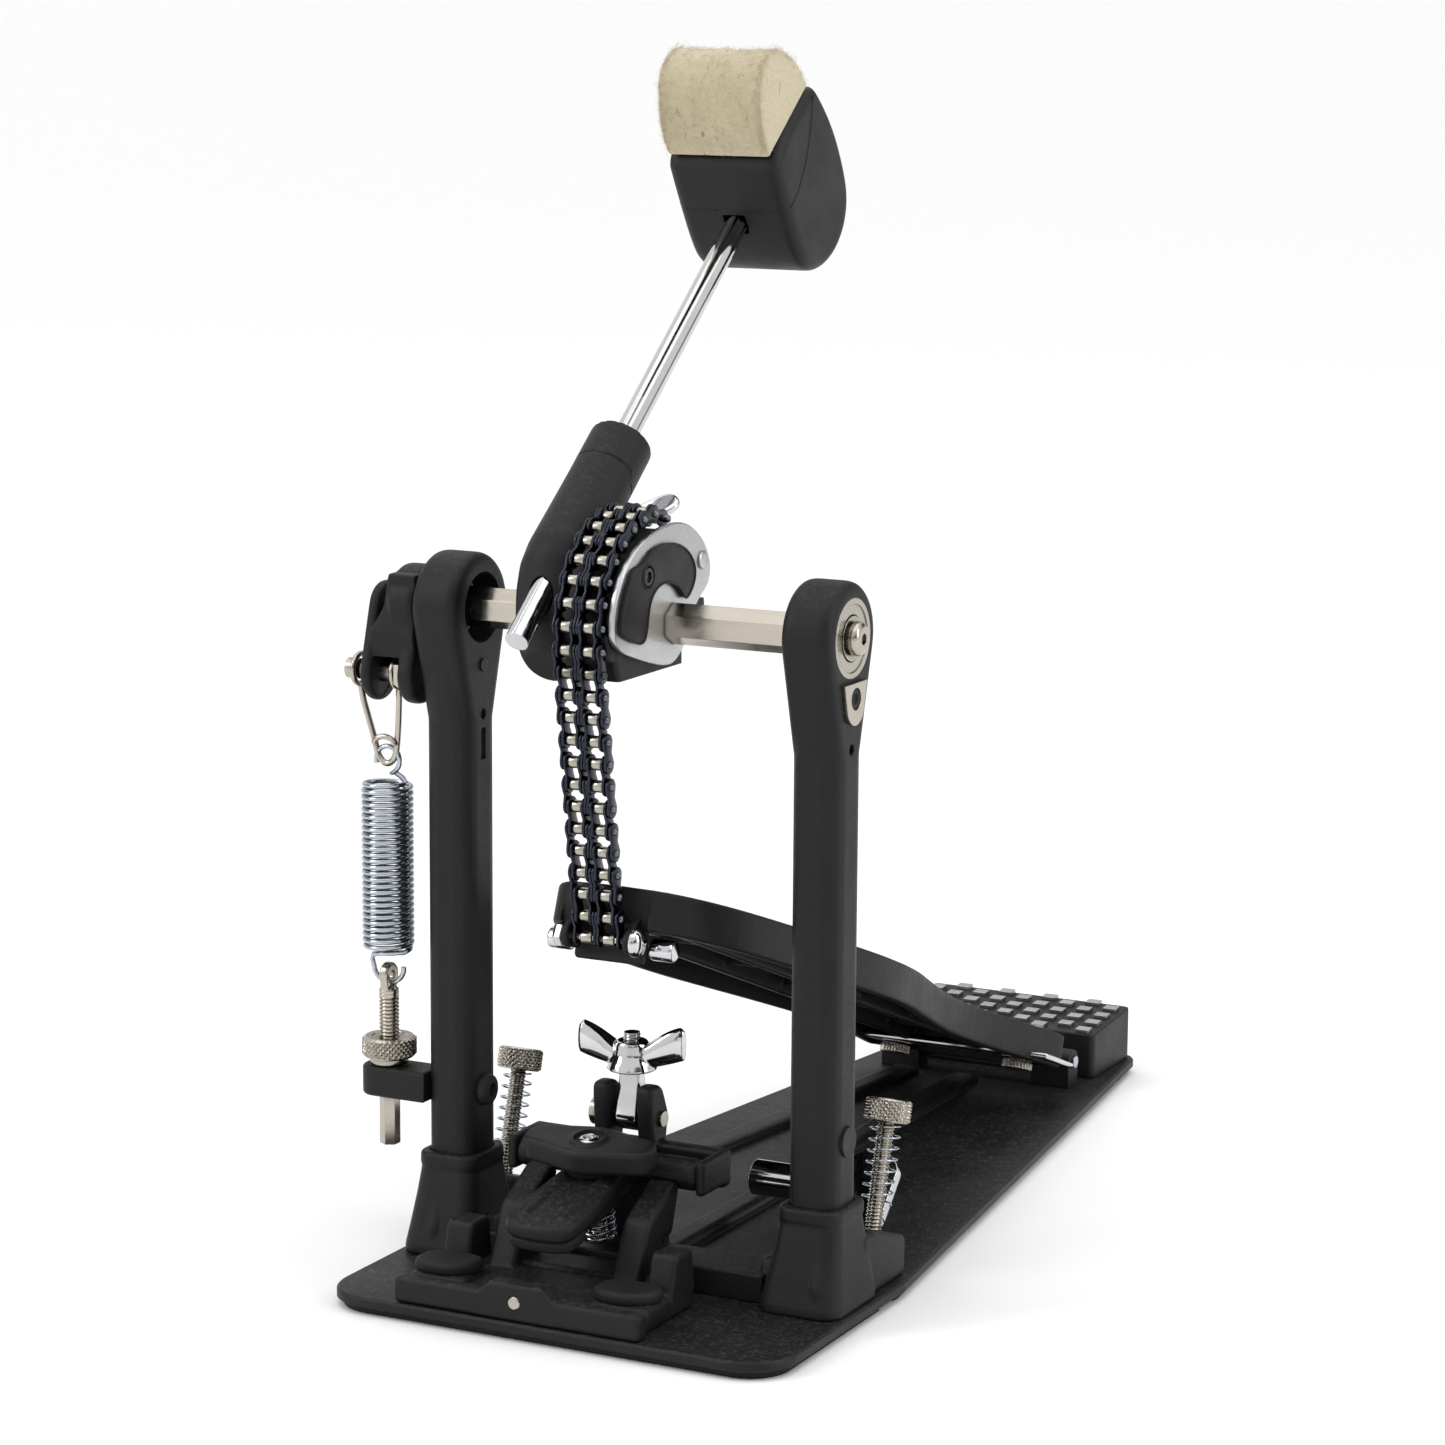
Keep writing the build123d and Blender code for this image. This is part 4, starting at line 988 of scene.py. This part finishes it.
# ---------------------------------------------------------------- posts
for side, word in SIDES:
    x = side * POST_X
    inner, outer = x - side * 7.5, x + side * 7.5
    mesh = Mesh()
    box_shell(mesh, (x - 7.5, -8.5, 15), (x + 7.5, 8.5, 170), edge=4.6, steps=4)
    hull_shell(mesh, [(0, AXLE_Z, 15.5), (0, 163, 8.0)], x - 7.5, x + 7.5, 3.0)
    hull_shell(mesh, [(0, AXLE_Z, 14.5), (0, 142, 5.5)], x - 7.0, x + 7.0, 5.0)
    cuts = [cylinder(11.02, 0, 9, placed((x + side * 0.2, 0, AXLE_Z), (side, 0, 0)), 64),
            cylinder(10.0, -10, 10, placed((x, 0, AXLE_Z), (1, 0, 0)), 64),
            cylinder(1.55, -1.2, 1.2, placed((inner, 0, 161.5), (1, 0, 0)), 24),
            box((inner - 1.2, -1.3, 148.5), (inner + 1.2, 1.3, 157.5), edge=0.3),
            cylinder(1.6, -2.2, 2.2, placed((outer, 0, 161.5), (1, 0, 0)), 24)]
    post = fuse(f"{word}_post_casting", mesh, 0.5, 7, cuts)
    finish_piece(post, "frame", "black_casting", f"{word}_post")

# ---------------------------------------------------------------- chain cam
# Outlines about the axle, in (y, z): plated side plate, crescent on it, wedge of the casting below.
CAM_SILVER = [(-33.4, -3), (-34.2, 5), (-32, 11.5), (-27.5, 18.5), (-17.5, 24.6), (-5, 27.6), (7, 27.6),
              (17, 22.5), (21.5, 17), (23, 12.5), (21.5, 8), (15, 4.5), (10.5, -1), (8, -6.5), (2, -11),
              (-4, -11.4), (-16, -8.6)]
CAM_DARK = [(-27.6, 13.8), (-24.8, 17.6), (-19.3, 18.3), (-16.4, 20.2), (-13.3, 21.6), (-8.0, 22.8),
            (-2.7, 22.6), (2.6, 21.3), (7.1, 19.0), (10.3, 15.7), (11.2, 12.2), (9.6, 9.0), (6.4, 6.3),
            (4.6, 6.7), (3.1, 8.8), (0.1, 10.9), (-4.4, 12.2), (-8.8, 12.2), (-12.3, 11.0), (-14.9, 8.8),
            (-16.3, 5.7), (-17.0, 2.5), (-18.0, -1.8), (-20.4, -2.9), (-23.5, -2.2), (-30.6, 0.6),
            (-32.2, 2.4), (-31.6, 5.6), (-30.4, 9.4)]
CAM_WEDGE = [(-33.5, 1), (-33, -6), (-20, -10.5), (-5, -13.5), (-1, -13.0), (-2, -9.5), (-16, -4)]
CAM_SCREW = placed((0, -16.7, 207.0), (1, 0, 0))


def on_shaft(points):
    """Outline points given about the axle."""
    return [(y, AXLE_Z + z) for y, z in points]


def plate_with_cuts(name, outline, low, high, cuts):
    """Flat part across x with clean cut holes."""
    mesh = Mesh()
    slab_across(mesh, outline, low, high, 0.35)
    return cut_out(mesh.make(name, CAST_ANGLE), cuts)


hex_hole = Mesh()
slab_across(hex_hole, circle(0, AXLE_Z, 5.85, 6, math.pi / 6), -12, 28, 0.02, 1)
plate = plate_with_cuts("cam_side", smooth_closed(on_shaft(CAM_SILVER), 2), 8.4, 10.3, [hex_hole])
finish_piece(plate, "shaft", "satin_aluminium", "cam_side_plate")
screw_seat = cylinder(3.0, 8, 13, CAM_SCREW, 40)
crescent = plate_with_cuts("cam_crescent", smooth_closed(on_shaft(CAM_DARK), 2), 10.0, 11.6, [screw_seat])
finish_piece(crescent, "shaft", "black_plastic", "cam_inlay")
rim = Mesh()
tube(rim, [(11.55, y, z) for y, z in smooth_closed(on_shaft(CAM_DARK), 3)], 0.34, 8, True)
tube(rim, [(11.6, y, z) for y, z in circle(-16.7, 207.0, 3.3, 32)], 0.3, 8, True)
finish_piece(rim.make("cam_crescent_rim", 60), "shaft", "black_plastic")
rivet = Mesh()
lathe(rivet, [(0.01, 10.2), (2.5, 10.2), (2.5, 10.7), (2.1, 11.0), (0.01, 11.0)],
      placed((0, 17.5, AXLE_Z + 15.5), (1, 0, 0)), 36)
finish_piece(rivet.make("cam_side_details", 40), "shaft", "satin_aluminium")
back = Mesh()
hull_shell(back, [(CAM_Y, CAM_Z, CAM_R - 4.6), (0, AXLE_Z, 11), (-24, 186, 5)], -8.4, 8.4, 1.0)
slab_across(back, on_shaft(CAM_WEDGE), -8.2, 8.2, 0.6)
# The casting shows only as a rim behind the side plate and a wedge below it.
above = box((-20, 2, 196), (20, 60, 240), edge=3)
below = box((-20, -60, 140), (20, 60, AXLE_Z - 12.6), edge=3)
rearward = box((-20, 9, 150), (20, 60, AXLE_Z - 1), edge=2)
casting = fuse("cam_casting", back, 0.5, 4, [above, below, rearward, hex_hole])
finish_piece(casting, "shaft", "black_casting", "chain_cam")
screws = Mesh()
lathe(screws, [(0.01, 10.2), (2.7, 10.2), (2.7, 11.5), (2.45, 11.75), (1.5, 11.75), (1.4, 11.2),
               (0.01, 11.2)], CAM_SCREW, 36)
finish_piece(screws.make("cam_screw_heads", 35), "shaft", "nickel", "cam_screws", material="blued_steel")

# ---------------------------------------------------------------- footboard and its hinge
SLOPE = math.radians(20.9)
BOARD = Matrix.Translation((0, 243.0, 13.5)) @ Matrix.Rotation(-SLOPE, 4, "X")
RIGHT_EDGE = [(11, -283.5), (22, -278), (30.5, -263), (36, -240), (41.8, -208), (44.4, -182), (42.6, -158),
              (36.5, -134), (29.8, -106), (26.0, -80), (27.6, -56), (31.5, -34), (35.2, -14), (34, -11.5)]


def board_line(inset=0.0):
    """Closed outline of the board; the left side is a little narrower at the toe."""
    right = [(x - inset, y + (inset if y < -270 else (-inset if y > -20 else 0))) for x, y in RIGHT_EDGE]
    left = [(-x * float(np.interp(y, (-275, -185), (0.80, 1.0))), y) for x, y in reversed(right)]
    return smooth_closed(right + left, 2)


board = Mesh()
slab(board, board_line(), 11.4, BOARD @ Matrix.Translation((0, 0, 7.3 - 11.4)), 1.1, 4)
under = Mesh()
slab(under, board_line(3.4), 14, BOARD @ Matrix.Translation((0, 0, -10.4)), 0.2, 1)
ribs = Mesh()
for x in (-13, 13):
    box_shell(ribs, (x - 1.4, -262, -2.6), (x + 1.4, -22, 5), BOARD, 0.5)
box_shell(ribs, (-10, -277, -3.4), (10, -262, 5), BOARD, 1.2)
box_shell(ribs, (-30, -30, -0.6), (30, -13, 5), BOARD, 0.6)
for y in range(-220, -51, 42):
    box_shell(ribs, (-26, y - 1.2, 0.2), (26, y + 1.2, 5), BOARD, 0.4)
# The toe ends just behind the chain's path.
toe_face = box((-14, -60, 60), (14, -18.5, 160), edge=1)
casting = fuse("footboard_plate", board, 0.55, 4, [under, toe_face])
finish_piece(casting, "footboard", "black_casting", "footboard")
finish_piece(fuse("footboard_ribs", ribs, 0.5, 4, [toe_face]), "footboard", "black_casting")

STUD_PITCH = 9.5
studs = Mesh()
edge_x, edge_y = zip(*RIGHT_EDGE[:-1])
for row, y in enumerate(np.arange(-256, -36, STUD_PITCH)):
    reach = float(np.interp(y, edge_y, edge_x)) * (0.8 if y < -230 else 1.0) - 9.0
    columns = int(reach // STUD_PITCH)
    for column in range(-columns, columns + 1):
        x = STUD_PITCH * (column + (0.5 if row % 2 else 0.0))
        if abs(x) <= reach:
            box_shell(studs, (x - 2.4, y - 2.4, 6.9), (x + 2.4, y + 2.4, 7.9), BOARD, 0.7)
finish_piece(studs.make("tread_studs", 40), "footboard", "rubber", material="tread")
strip = Mesh()
box_shell(strip, (-37.5, -33, -3.1), (37.5, -8, -1.3), BOARD, 0.5)
lathe(strip, rounded_profile(3.9, -20, 20, 0.4), BOARD @ placed((0, 0, 0), (1, 0, 0)), 30)
finish_piece(strip.make("hinge_strip", 40), "footboard", "nickel", "hinge_leaf", material="chrome")


def straight_knurl(r, h, t):
    """Shape for lathe: grooves along the rim."""
    groove = t * 26 / (2 * math.pi) % 1.0
    return r - 0.35 * max(0.0, 1 - 3.4 * min(groove, 1 - groove)) if r > 4.7 else r


nuts = Mesh()
nut_rim = [(2.0, 0), (4.6, 0)] + [(5.0, 0.4 + 2.6 * k / 8) for k in range(9)] + [(4.6, 3.4), (2.0, 3.4)]
for x in (-22, 22):
    lathe(nuts, nut_rim, BOARD @ Matrix.Translation((x, -19, -6.6)), 160, straight_knurl)
finish_piece(nuts.make("hinge_nuts_knurled", 35), "footboard", "nickel", "hinge_nuts")

toe_y, toe_z = chain_point(0)
lugs = Mesh()
for x0, x1 in ((-10.6, -8.5), (8.5, 10.6)):
    hull_shell(lugs, [(toe_y, toe_z, 3.4), (-17.0, 105.5, 3.6), (-15.6, 112.0, 2.0)], x0, x1, 0.5)
hull_shell(lugs, [(-16.9, 100.5, 1.6), (-14.6, 109.5, 1.6)], -10.6, 10.6, 0.6)
finish_piece(fuse("toe_lugs", lugs, 0.35, 4), "footboard", "black_casting", "chain_clamp")
bolt = Mesh()
across = placed((0, toe_y, toe_z), (1, 0, 0))
lathe(bolt, [(0.01, 10.6), (3.6, 10.6), (4.0, 11.0), (4.0, 11.8), (3.4, 12.9), (2.0, 13.6), (0.4, 13.8),
             (0.01, 13.8)], across, 36)
lathe(bolt, [(0.01, -13.2), (3.2, -13.2), (3.5, -12.8), (3.5, -10.9), (3.2, -10.6), (0.01, -10.6)],
      across, 6)
lathe(bolt, [(0.01, -10.7), (1.15, -10.7), (1.15, 10.7), (0.01, 10.7)], across, 24)
for x in (-16, 16):
    lathe(bolt, rounded_profile(3.1, -3.5, 3.5, 0.8), placed((x, -15.2, 103.5), (1, 0, 0)), 30)
finish_piece(bolt.make("toe_bolt", 40), "footboard", "chrome", "chain_clamp_bolt")

# ---------------------------------------------------------------- rocker arm, stirrup and eye rod
arm = Mesh()
hull_shell(arm, [(0, AXLE_Z, 11), (-1.5, 182, 8.5)], -75.6, -66.4, 2.0)
for x0, x1 in ((-83.6, -80.0), (-71.4, -66.4)):
    hull_shell(arm, [(0, 190, 7.5), (PIN_Y, PIN_Z, 8.5)], x0, x1, 1.4)
# Lower part of the arm: each level is its height and the two ends in x.
levels = ((201, -75.4, -66.6), (192, -76.8, -66.6), (184, -80.6, -66.6), (176, -83.5, -66.6),
          (170, -83.5, -66.6))
points = []
for z, x0, x1 in levels:
    half = 8.0 if z > 176 else 6.8
    middle = -1.5 if z > 184 else -3.0
    for x, y in ((x0, -half), (x1, -half), (x1, half * 0.9), (x0, half * 0.9)):
        points.append((x, middle + y, z))
faces = [tuple(reversed(f)) for f in grid_faces(len(levels), 4)]
arm.add(points, faces + [(0, 1, 2, 3), (19, 18, 17, 16)])
scoop = cylinder(6.6, -80.2, -71.2, placed((0, -6.5, 171.6), (1, 0, 0)), 40)
pin_bore = cylinder(3.05, -90, -60, placed((0, PIN_Y, PIN_Z), (1, 0, 0)), 30)
finish_piece(fuse("rocker_casting", arm, 0.45, 6, [scoop, pin_bore]), "shaft", "black_casting", "rocker_arm")

loop = Mesh()
for x in (-88.1, -75.3):
    tube(loop, [(x, y, z) for z, y in circle(PIN_Z, PIN_Y, 4.3, 36)], 0.85, 10, True)
legs = [(-88.1, 167.9), (-87.3, 163.5), (-85.2, 157.0), (-83.4, 151.5), (-82.5, 147.5), (-80.9, 145.3),
        (-79.3, 144.8), (-77.8, 145.5), (-76.5, 147.7), (-75.9, 152.5), (-75.5, 158.5), (-75.3, 163.8),
        (-75.3, 167.9)]
tube(loop, [(x, PIN_Y, z) for x, z in open_curve(legs, 70)], 0.95, 12)
turn = np.linspace(0.15, math.pi - 0.15, 20)
tube(loop, [(-79.6 + 3.6 * math.cos(a), -5.2, 150.6 + 2.6 * math.sin(a)) for a in turn], 0.85, 10)
finish_piece(loop.make("stirrup_wire", 50), "stirrup", "nickel", "stirrup")

# ---------------------------------------------------------------- hoop clamp
base = Mesh()
box_shell(base, (CLAMP_X - 38.5, -56, 5), (CLAMP_X + 38.5, -50.6, 12.5), edge=1.2, steps=3)
box_shell(base, (CLAMP_X - 37, -52, 5), (CLAMP_X + 37, -20, 10.4), edge=1.4, steps=3)
box_shell(base, (CLAMP_X - 26, -24, 5), (CLAMP_X + 30, -10.4, 11.5), edge=1.0, steps=2)
for x in (CLAMP_X - 28, CLAMP_X + 28.5):
    box_shell(base, (x - 10.2, -50, 5), (x + 8.8, -33.5, 12.2), edge=2.4, steps=3)
hump = [(-13.5, 5), (13.5, 5), (12, 12), (8, 15.6), (-8, 15.6), (-12, 12)]
slab(base, hump, 5.6, Matrix.Translation((CLAMP_X, -50.4, 0)) @ Matrix.Rotation(math.pi / 2, 4, "X"), 0.8, 3)
for x0, x1 in ((CLAMP_X - 36, CLAMP_X - 27.5), (CLAMP_X + 29, CLAMP_X + 37)):
    hull_shell(base, [(-31.5, 11, 2.4), (-22, 11, 2.4), (-29.5, 20.5, 1.8), (-22.5, 20.5, 1.8)], x0, x1, 1.0)
for x0, x1 in ((CLAMP_X - 24, CLAMP_X - 15.5), (CLAMP_X + 15.0, CLAMP_X + 23.5)):
    hull_shell(base, [(-27, 9.5, 2.4), (-13, 9, 2.0), (-18, 24, 4.0)], x0, x1, 1.2)
    hull_shell(base, [(-18, 24, 4.0), (-5.6, 32.5, 2.4), (-8.5, 22, 2.0)], x0, x1, 1.2)
pin_hole = cylinder(2.0, -57.5, -48, placed((CLAMP_X, 0, 10.5), (0, 1, 0)), 24)
bar_gap = cylinder(4.8, -45, 45, placed((CLAMP_X, 0, 36), (1, 0, 0)), 40)
finish_piece(fuse("clamp_casting", base, 0.5, 5, [pin_hole, bar_gap]), "frame", "black_casting", "clamp_base")
pads = Mesh()
for x in (CLAMP_X - 28.3, CLAMP_X + 28.2):
    outline = smooth_closed([(-10, -48), (4, -49), (9.2, -42), (8, -35.5), (-5, -34.5), (-9.6, -38)], 3)
    slab(pads, outline, 4.3, Matrix.Translation((x, 0, 11.2)), 1.7, 5)
finish_piece(pads.make("clamp_pad_domes", 60), "frame", "rubber", "clamp_pads")

jaw = Mesh()
tongue = smooth_closed([(-11.6, -38), (-9.4, -46.6), (9.4, -46.6), (11.6, -38), (9.2, -12), (8.8, 2),
                        (-8.8, 2), (-9.2, -12)], 2)
slab(jaw, tongue, 5.2, JAW @ Matrix.Translation((0, 0, -2.2)), 1.6, 4)
box_shell(jaw, (-9.2, -30, -5.4), (9.2, 1, 1.0), JAW, 1.0, 3)
for x in (-7.4, 4.4):
    box_shell(jaw, (x, -41, 2.0), (x + 3.0, -2, 3.9), JAW, 0.9, 3)
lathe(jaw, rounded_profile(4.6, -29, 29, 2.0), JAW @ placed((0, 0, 0), (1, 0, 0)), 36)
jaw_bore = cylinder(3.4, -12, 12, KNOB, 30)
finish_piece(fuse("jaw_casting", jaw, 0.45, 5, [jaw_bore]), "jaw", "black_casting", "clamp_jaw")
grip = Mesh()
grip_line = smooth_closed([(-10.6, -40), (-8.6, -45.9), (8.6, -45.9), (10.6, -40), (10, -32), (-10, -32)], 2)
slab(grip, grip_line, 3.4, JAW @ Matrix.Translation((0, 0, -5.3)), 0.8, 3)
finish_piece(grip.make("jaw_grip", 50), "jaw", "rubber", "jaw_pad")

knob = Mesh()
wing_line = smooth_closed([(-19.3, -4.6), (-14, -5.6), (-7.4, -7.2), (0, -9.2), (7.4, -7.2), (14, -5.6),
                           (19.3, -4.6), (20.3, 0), (19.3, 4.6), (14, 5.6), (7.4, 7.2), (0, 8.6), (-7.4, 7.2),
                           (-14, 5.6), (-19.3, 4.6), (-20.3, 0)], 2)
slab(knob, wing_line, 7.4, KNOB @ Matrix.Translation((0, 0, 5.4)), 1.3, 4)
lathe(knob, [(0.01, 3.3), (7.0, 3.3), (7.4, 3.8), (8.0, 9.0), (0.01, 9.0)], KNOB, 44)
lathe(knob, [(0.01, 9), (5.6, 9), (5.6, 13.0), (5.1, 13.5), (0.01, 13.5)], KNOB, 44)
top_seat = Mesh()
lathe(top_seat, [(0.01, 12.6), (4.2, 12.6), (4.6, 15), (0.01, 15)], KNOB, 40)
finish_piece(fuse("knob_moulding", knob, 0.4, 5, [top_seat]), "clamp_knob", "black_plastic", "clamp_knob")
stud = Mesh()
screw_thread(stud, 3.0, 0.4, 1.1, -16.8, 3.2, KNOB, 28)
lathe(stud, [(0.01, 12.2), (2.9, 12.2), (2.9, 12.9), (2.4, 13.3), (1.7, 13.4), (1.5, 12.8), (0.01, 12.8)],
      KNOB, 32)
lathe(stud, rounded_profile(5.0, -18.0, -16.4, 0.4), KNOB, 36)
finish_piece(stud.make("clamp_stud_thread", 45), "jaw", "chrome", "clamp_stud")

rear = Mesh()
box_shell(rear, (CLAMP_X - 31.5, 8.5, 30), (CLAMP_X + 31.5, 13.5, 41), edge=1.4, steps=3)
for x in (CLAMP_X - 31.5, CLAMP_X + 28.7):
    box_shell(rear, (x, -4.6, 31), (x + 2.8, 13.4, 41), edge=1.0, steps=3)
box_shell(rear, (CLAMP_X - 12, 8.5, 5), (CLAMP_X + 12, 13.5, 32), edge=1.2, steps=3)
for x in (CLAMP_X - 9.6, CLAMP_X + 4.4):
    hull_shell(rear, [(11, 37, 4.0), (11.5, 47, 5.4)], x, x + 5.2, 1.3)
    hull_shell(rear, [(11.5, 47, 5.4), (10.0, 52.8, 4.4)], x, x + 5.2, 1.3)
    hull_shell(rear, [(10.0, 52.8, 4.4), (7.6, 55.2, 2.0)], x, x + 5.2, 1.3)
finish_piece(fuse("rear_casting", rear, 0.45, 5), "frame", "black_casting", "rear_bracket")

swing = Mesh()
hull_shell(swing, [(12, 47, 4.3), (12, 60, 1.6)], CLAMP_X - 3.3, CLAMP_X + 3.3, 0.6)
screw_thread(swing, 2.5, 0.35, 0.9, 59.5, 71.4, Matrix.Translation((CLAMP_X, 12, 0)), 28)
finish_piece(swing.make("swing_bolt_thread", 45), "swing_bolt", "chrome", "swing_bolt")
wings = Mesh()
lathe(wings, [(2.6, 60.4), (6.9, 60.4), (7.3, 60.9), (6.6, 62.8), (5.4, 65.0), (4.8, 68.4), (4.3, 69.0),
              (2.6, 69.0)], Matrix.Translation((CLAMP_X, 12, 0)), 44)
for side in (-1, 1):
    points = []
    for step in np.linspace(0, 1, 12):
        x = CLAMP_X + side * (2.2 + 13.4 * step)
        low = 60.9 + 3.2 * step ** 1.5
        tall = 5.6 + 4.6 * math.sin(math.pi * min(1.0, step * 0.58))
        thick = 3.6 - 1.5 * step
        if step > 0.93:
            tall, thick = tall * 0.86, thick * 0.7
        for a in np.linspace(0, 2 * math.pi, 20, endpoint=False):
            y = 12 + side * 2.4 * step + thick * math.cos(a)
            points.append((x, y, low + tall / 2 + tall / 2 * math.sin(a)))
    faces = grid_faces(12, 20) + [tuple(reversed(range(20))), tuple(range(220, 240))]
    wings.add(points, faces if side > 0 else [tuple(reversed(f)) for f in faces])
finish_piece(fuse("wing_nut_forged", wings, 0.3, 5), "wing_nut", "chrome", "wing_nut")

# ---------------------------------------------------------------- floor and light
floor_mesh = Mesh()
reach = 400000
corners = [(-reach, -reach, -0.2), (reach, -reach, -0.2), (reach, reach, -0.2), (-reach, reach, -0.2)]
floor_mesh.add(corners, [(0, 1, 2, 3)])
floor = floor_mesh.make("floor")
pale = bpy.data.materials.new("pale_floor")
pale.use_nodes = True
surface = pale.node_tree.nodes["Principled BSDF"]
surface.inputs["Base Color"].default_value = (0.86, 0.86, 0.86, 1)
surface.inputs["Roughness"].default_value = 0.85
floor.data.materials.append(pale)
floor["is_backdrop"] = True

world = bpy.data.worlds.new("studio")
bpy.context.scene.world = world
world.use_nodes = True
# Each flag stands in a direction, with a width and a darkness.
FLAGS = (((-0.95, -0.3, 0.15), 0.36, 0.96), ((0.85, -0.55, 0.1), 0.30, 0.94), ((0.3, 0.95, 0.2), 0.30, 0.92),
         ((-0.35, 0.93, 0.0), 0.2, 0.9), ((0.25, -0.95, 0.05), 0.20, 0.9))


def studio_sky(tree):
    """White studio with soft dark flags standing round it, so that plated parts show contrast."""
    sky = Nodes(tree)
    coords = sky.node("ShaderNodeTexCoord").outputs["Generated"]
    total = 1.0
    for direction, wide, dark in FLAGS:
        dot = sky.node("ShaderNodeVectorMath", operation="DOT_PRODUCT")
        dot.inputs[1].default_value = Vector(direction).normalized()
        sky.feed(coords, dot.inputs[0])
        start, full = 1 - wide * 0.42, 1 - wide * 0.12
        flag = sky.remap(dot.outputs["Value"], start, full, 1.0, 1.0 - dark, "SMOOTHSTEP")
        total = sky.math("MULTIPLY", total, flag)
    height = sky.node("ShaderNodeSeparateXYZ")
    sky.feed(coords, height.inputs["Vector"])
    lifted = sky.node("ShaderNodeMix", data_type="FLOAT")
    lifted.inputs["A"].default_value = 1.0
    sky.feed(sky.remap(height.outputs["Z"], 0.06, 0.20, kind="SMOOTHSTEP"), lifted.inputs["Factor"])
    sky.feed(total, lifted.inputs["B"])
    background = tree.nodes["Background"]
    sky.feed(lifted.outputs["Result"], background.inputs["Color"])
    background.inputs["Strength"].default_value = 0.95


studio_sky(world.node_tree)
sun = bpy.data.lights.new("soft_sky", "SUN")
sun.angle = math.radians(70)
sun.energy = 0.9
overhead = bpy.data.objects.new("soft_sky", sun)
bpy.context.scene.collection.objects.link(overhead)


def softbox(name, place, target, width, height, power):
    """Rectangular light that looks at the target."""
    light = bpy.data.lights.new(name, "AREA")
    light.shape = "RECTANGLE"
    light.size, light.size_y = width, height
    light.energy = power
    obj = bpy.data.objects.new(name, light)
    bpy.context.scene.collection.objects.link(obj)
    obj.location = place
    obj.rotation_mode = "QUATERNION"
    obj.rotation_quaternion = (Vector(target) - Vector(place)).to_track_quat("-Z", "Y")


softbox("key_left", (-1.3, -1.1, 1.1), (0, 0, 0.15), 0.6, 1.2, 12)
softbox("fill_right", (1.6, 0.2, 0.9), (0, 0.05, 0.15), 0.4, 1.2, 9)

# ---------------------------------------------------------------- camera
EYE = (0.525294, -0.985564, 0.365220)
camera = bpy.data.cameras.new("camera")
camera.sensor_width = 36.0
camera.lens = 102.01
camera.clip_start, camera.clip_end = 0.05, 3000.0
eye = bpy.data.objects.new("camera", camera)
bpy.context.scene.collection.objects.link(eye)
bpy.context.scene.camera = eye
azimuth, elevation, roll = math.radians(26.876), math.radians(10.239), math.radians(0.371)
level = Vector((math.cos(azimuth), math.sin(azimuth), 0))
ahead = Vector((-math.sin(azimuth), math.cos(azimuth), 0))
forward = ahead * math.cos(elevation) - Vector((0, 0, math.sin(elevation)))
above = level.cross(forward)
right = level * math.cos(roll) + above * math.sin(roll)
upward = above * math.cos(roll) - level * math.sin(roll)
eye.matrix_world = Matrix.Translation(EYE) @ Matrix((right, upward, -forward)).transposed().to_4x4()

scene = bpy.context.scene
scene.view_settings.view_transform = "Standard"
scene.view_settings.look = "None"
scene.view_settings.exposure = 0.0

low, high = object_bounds()
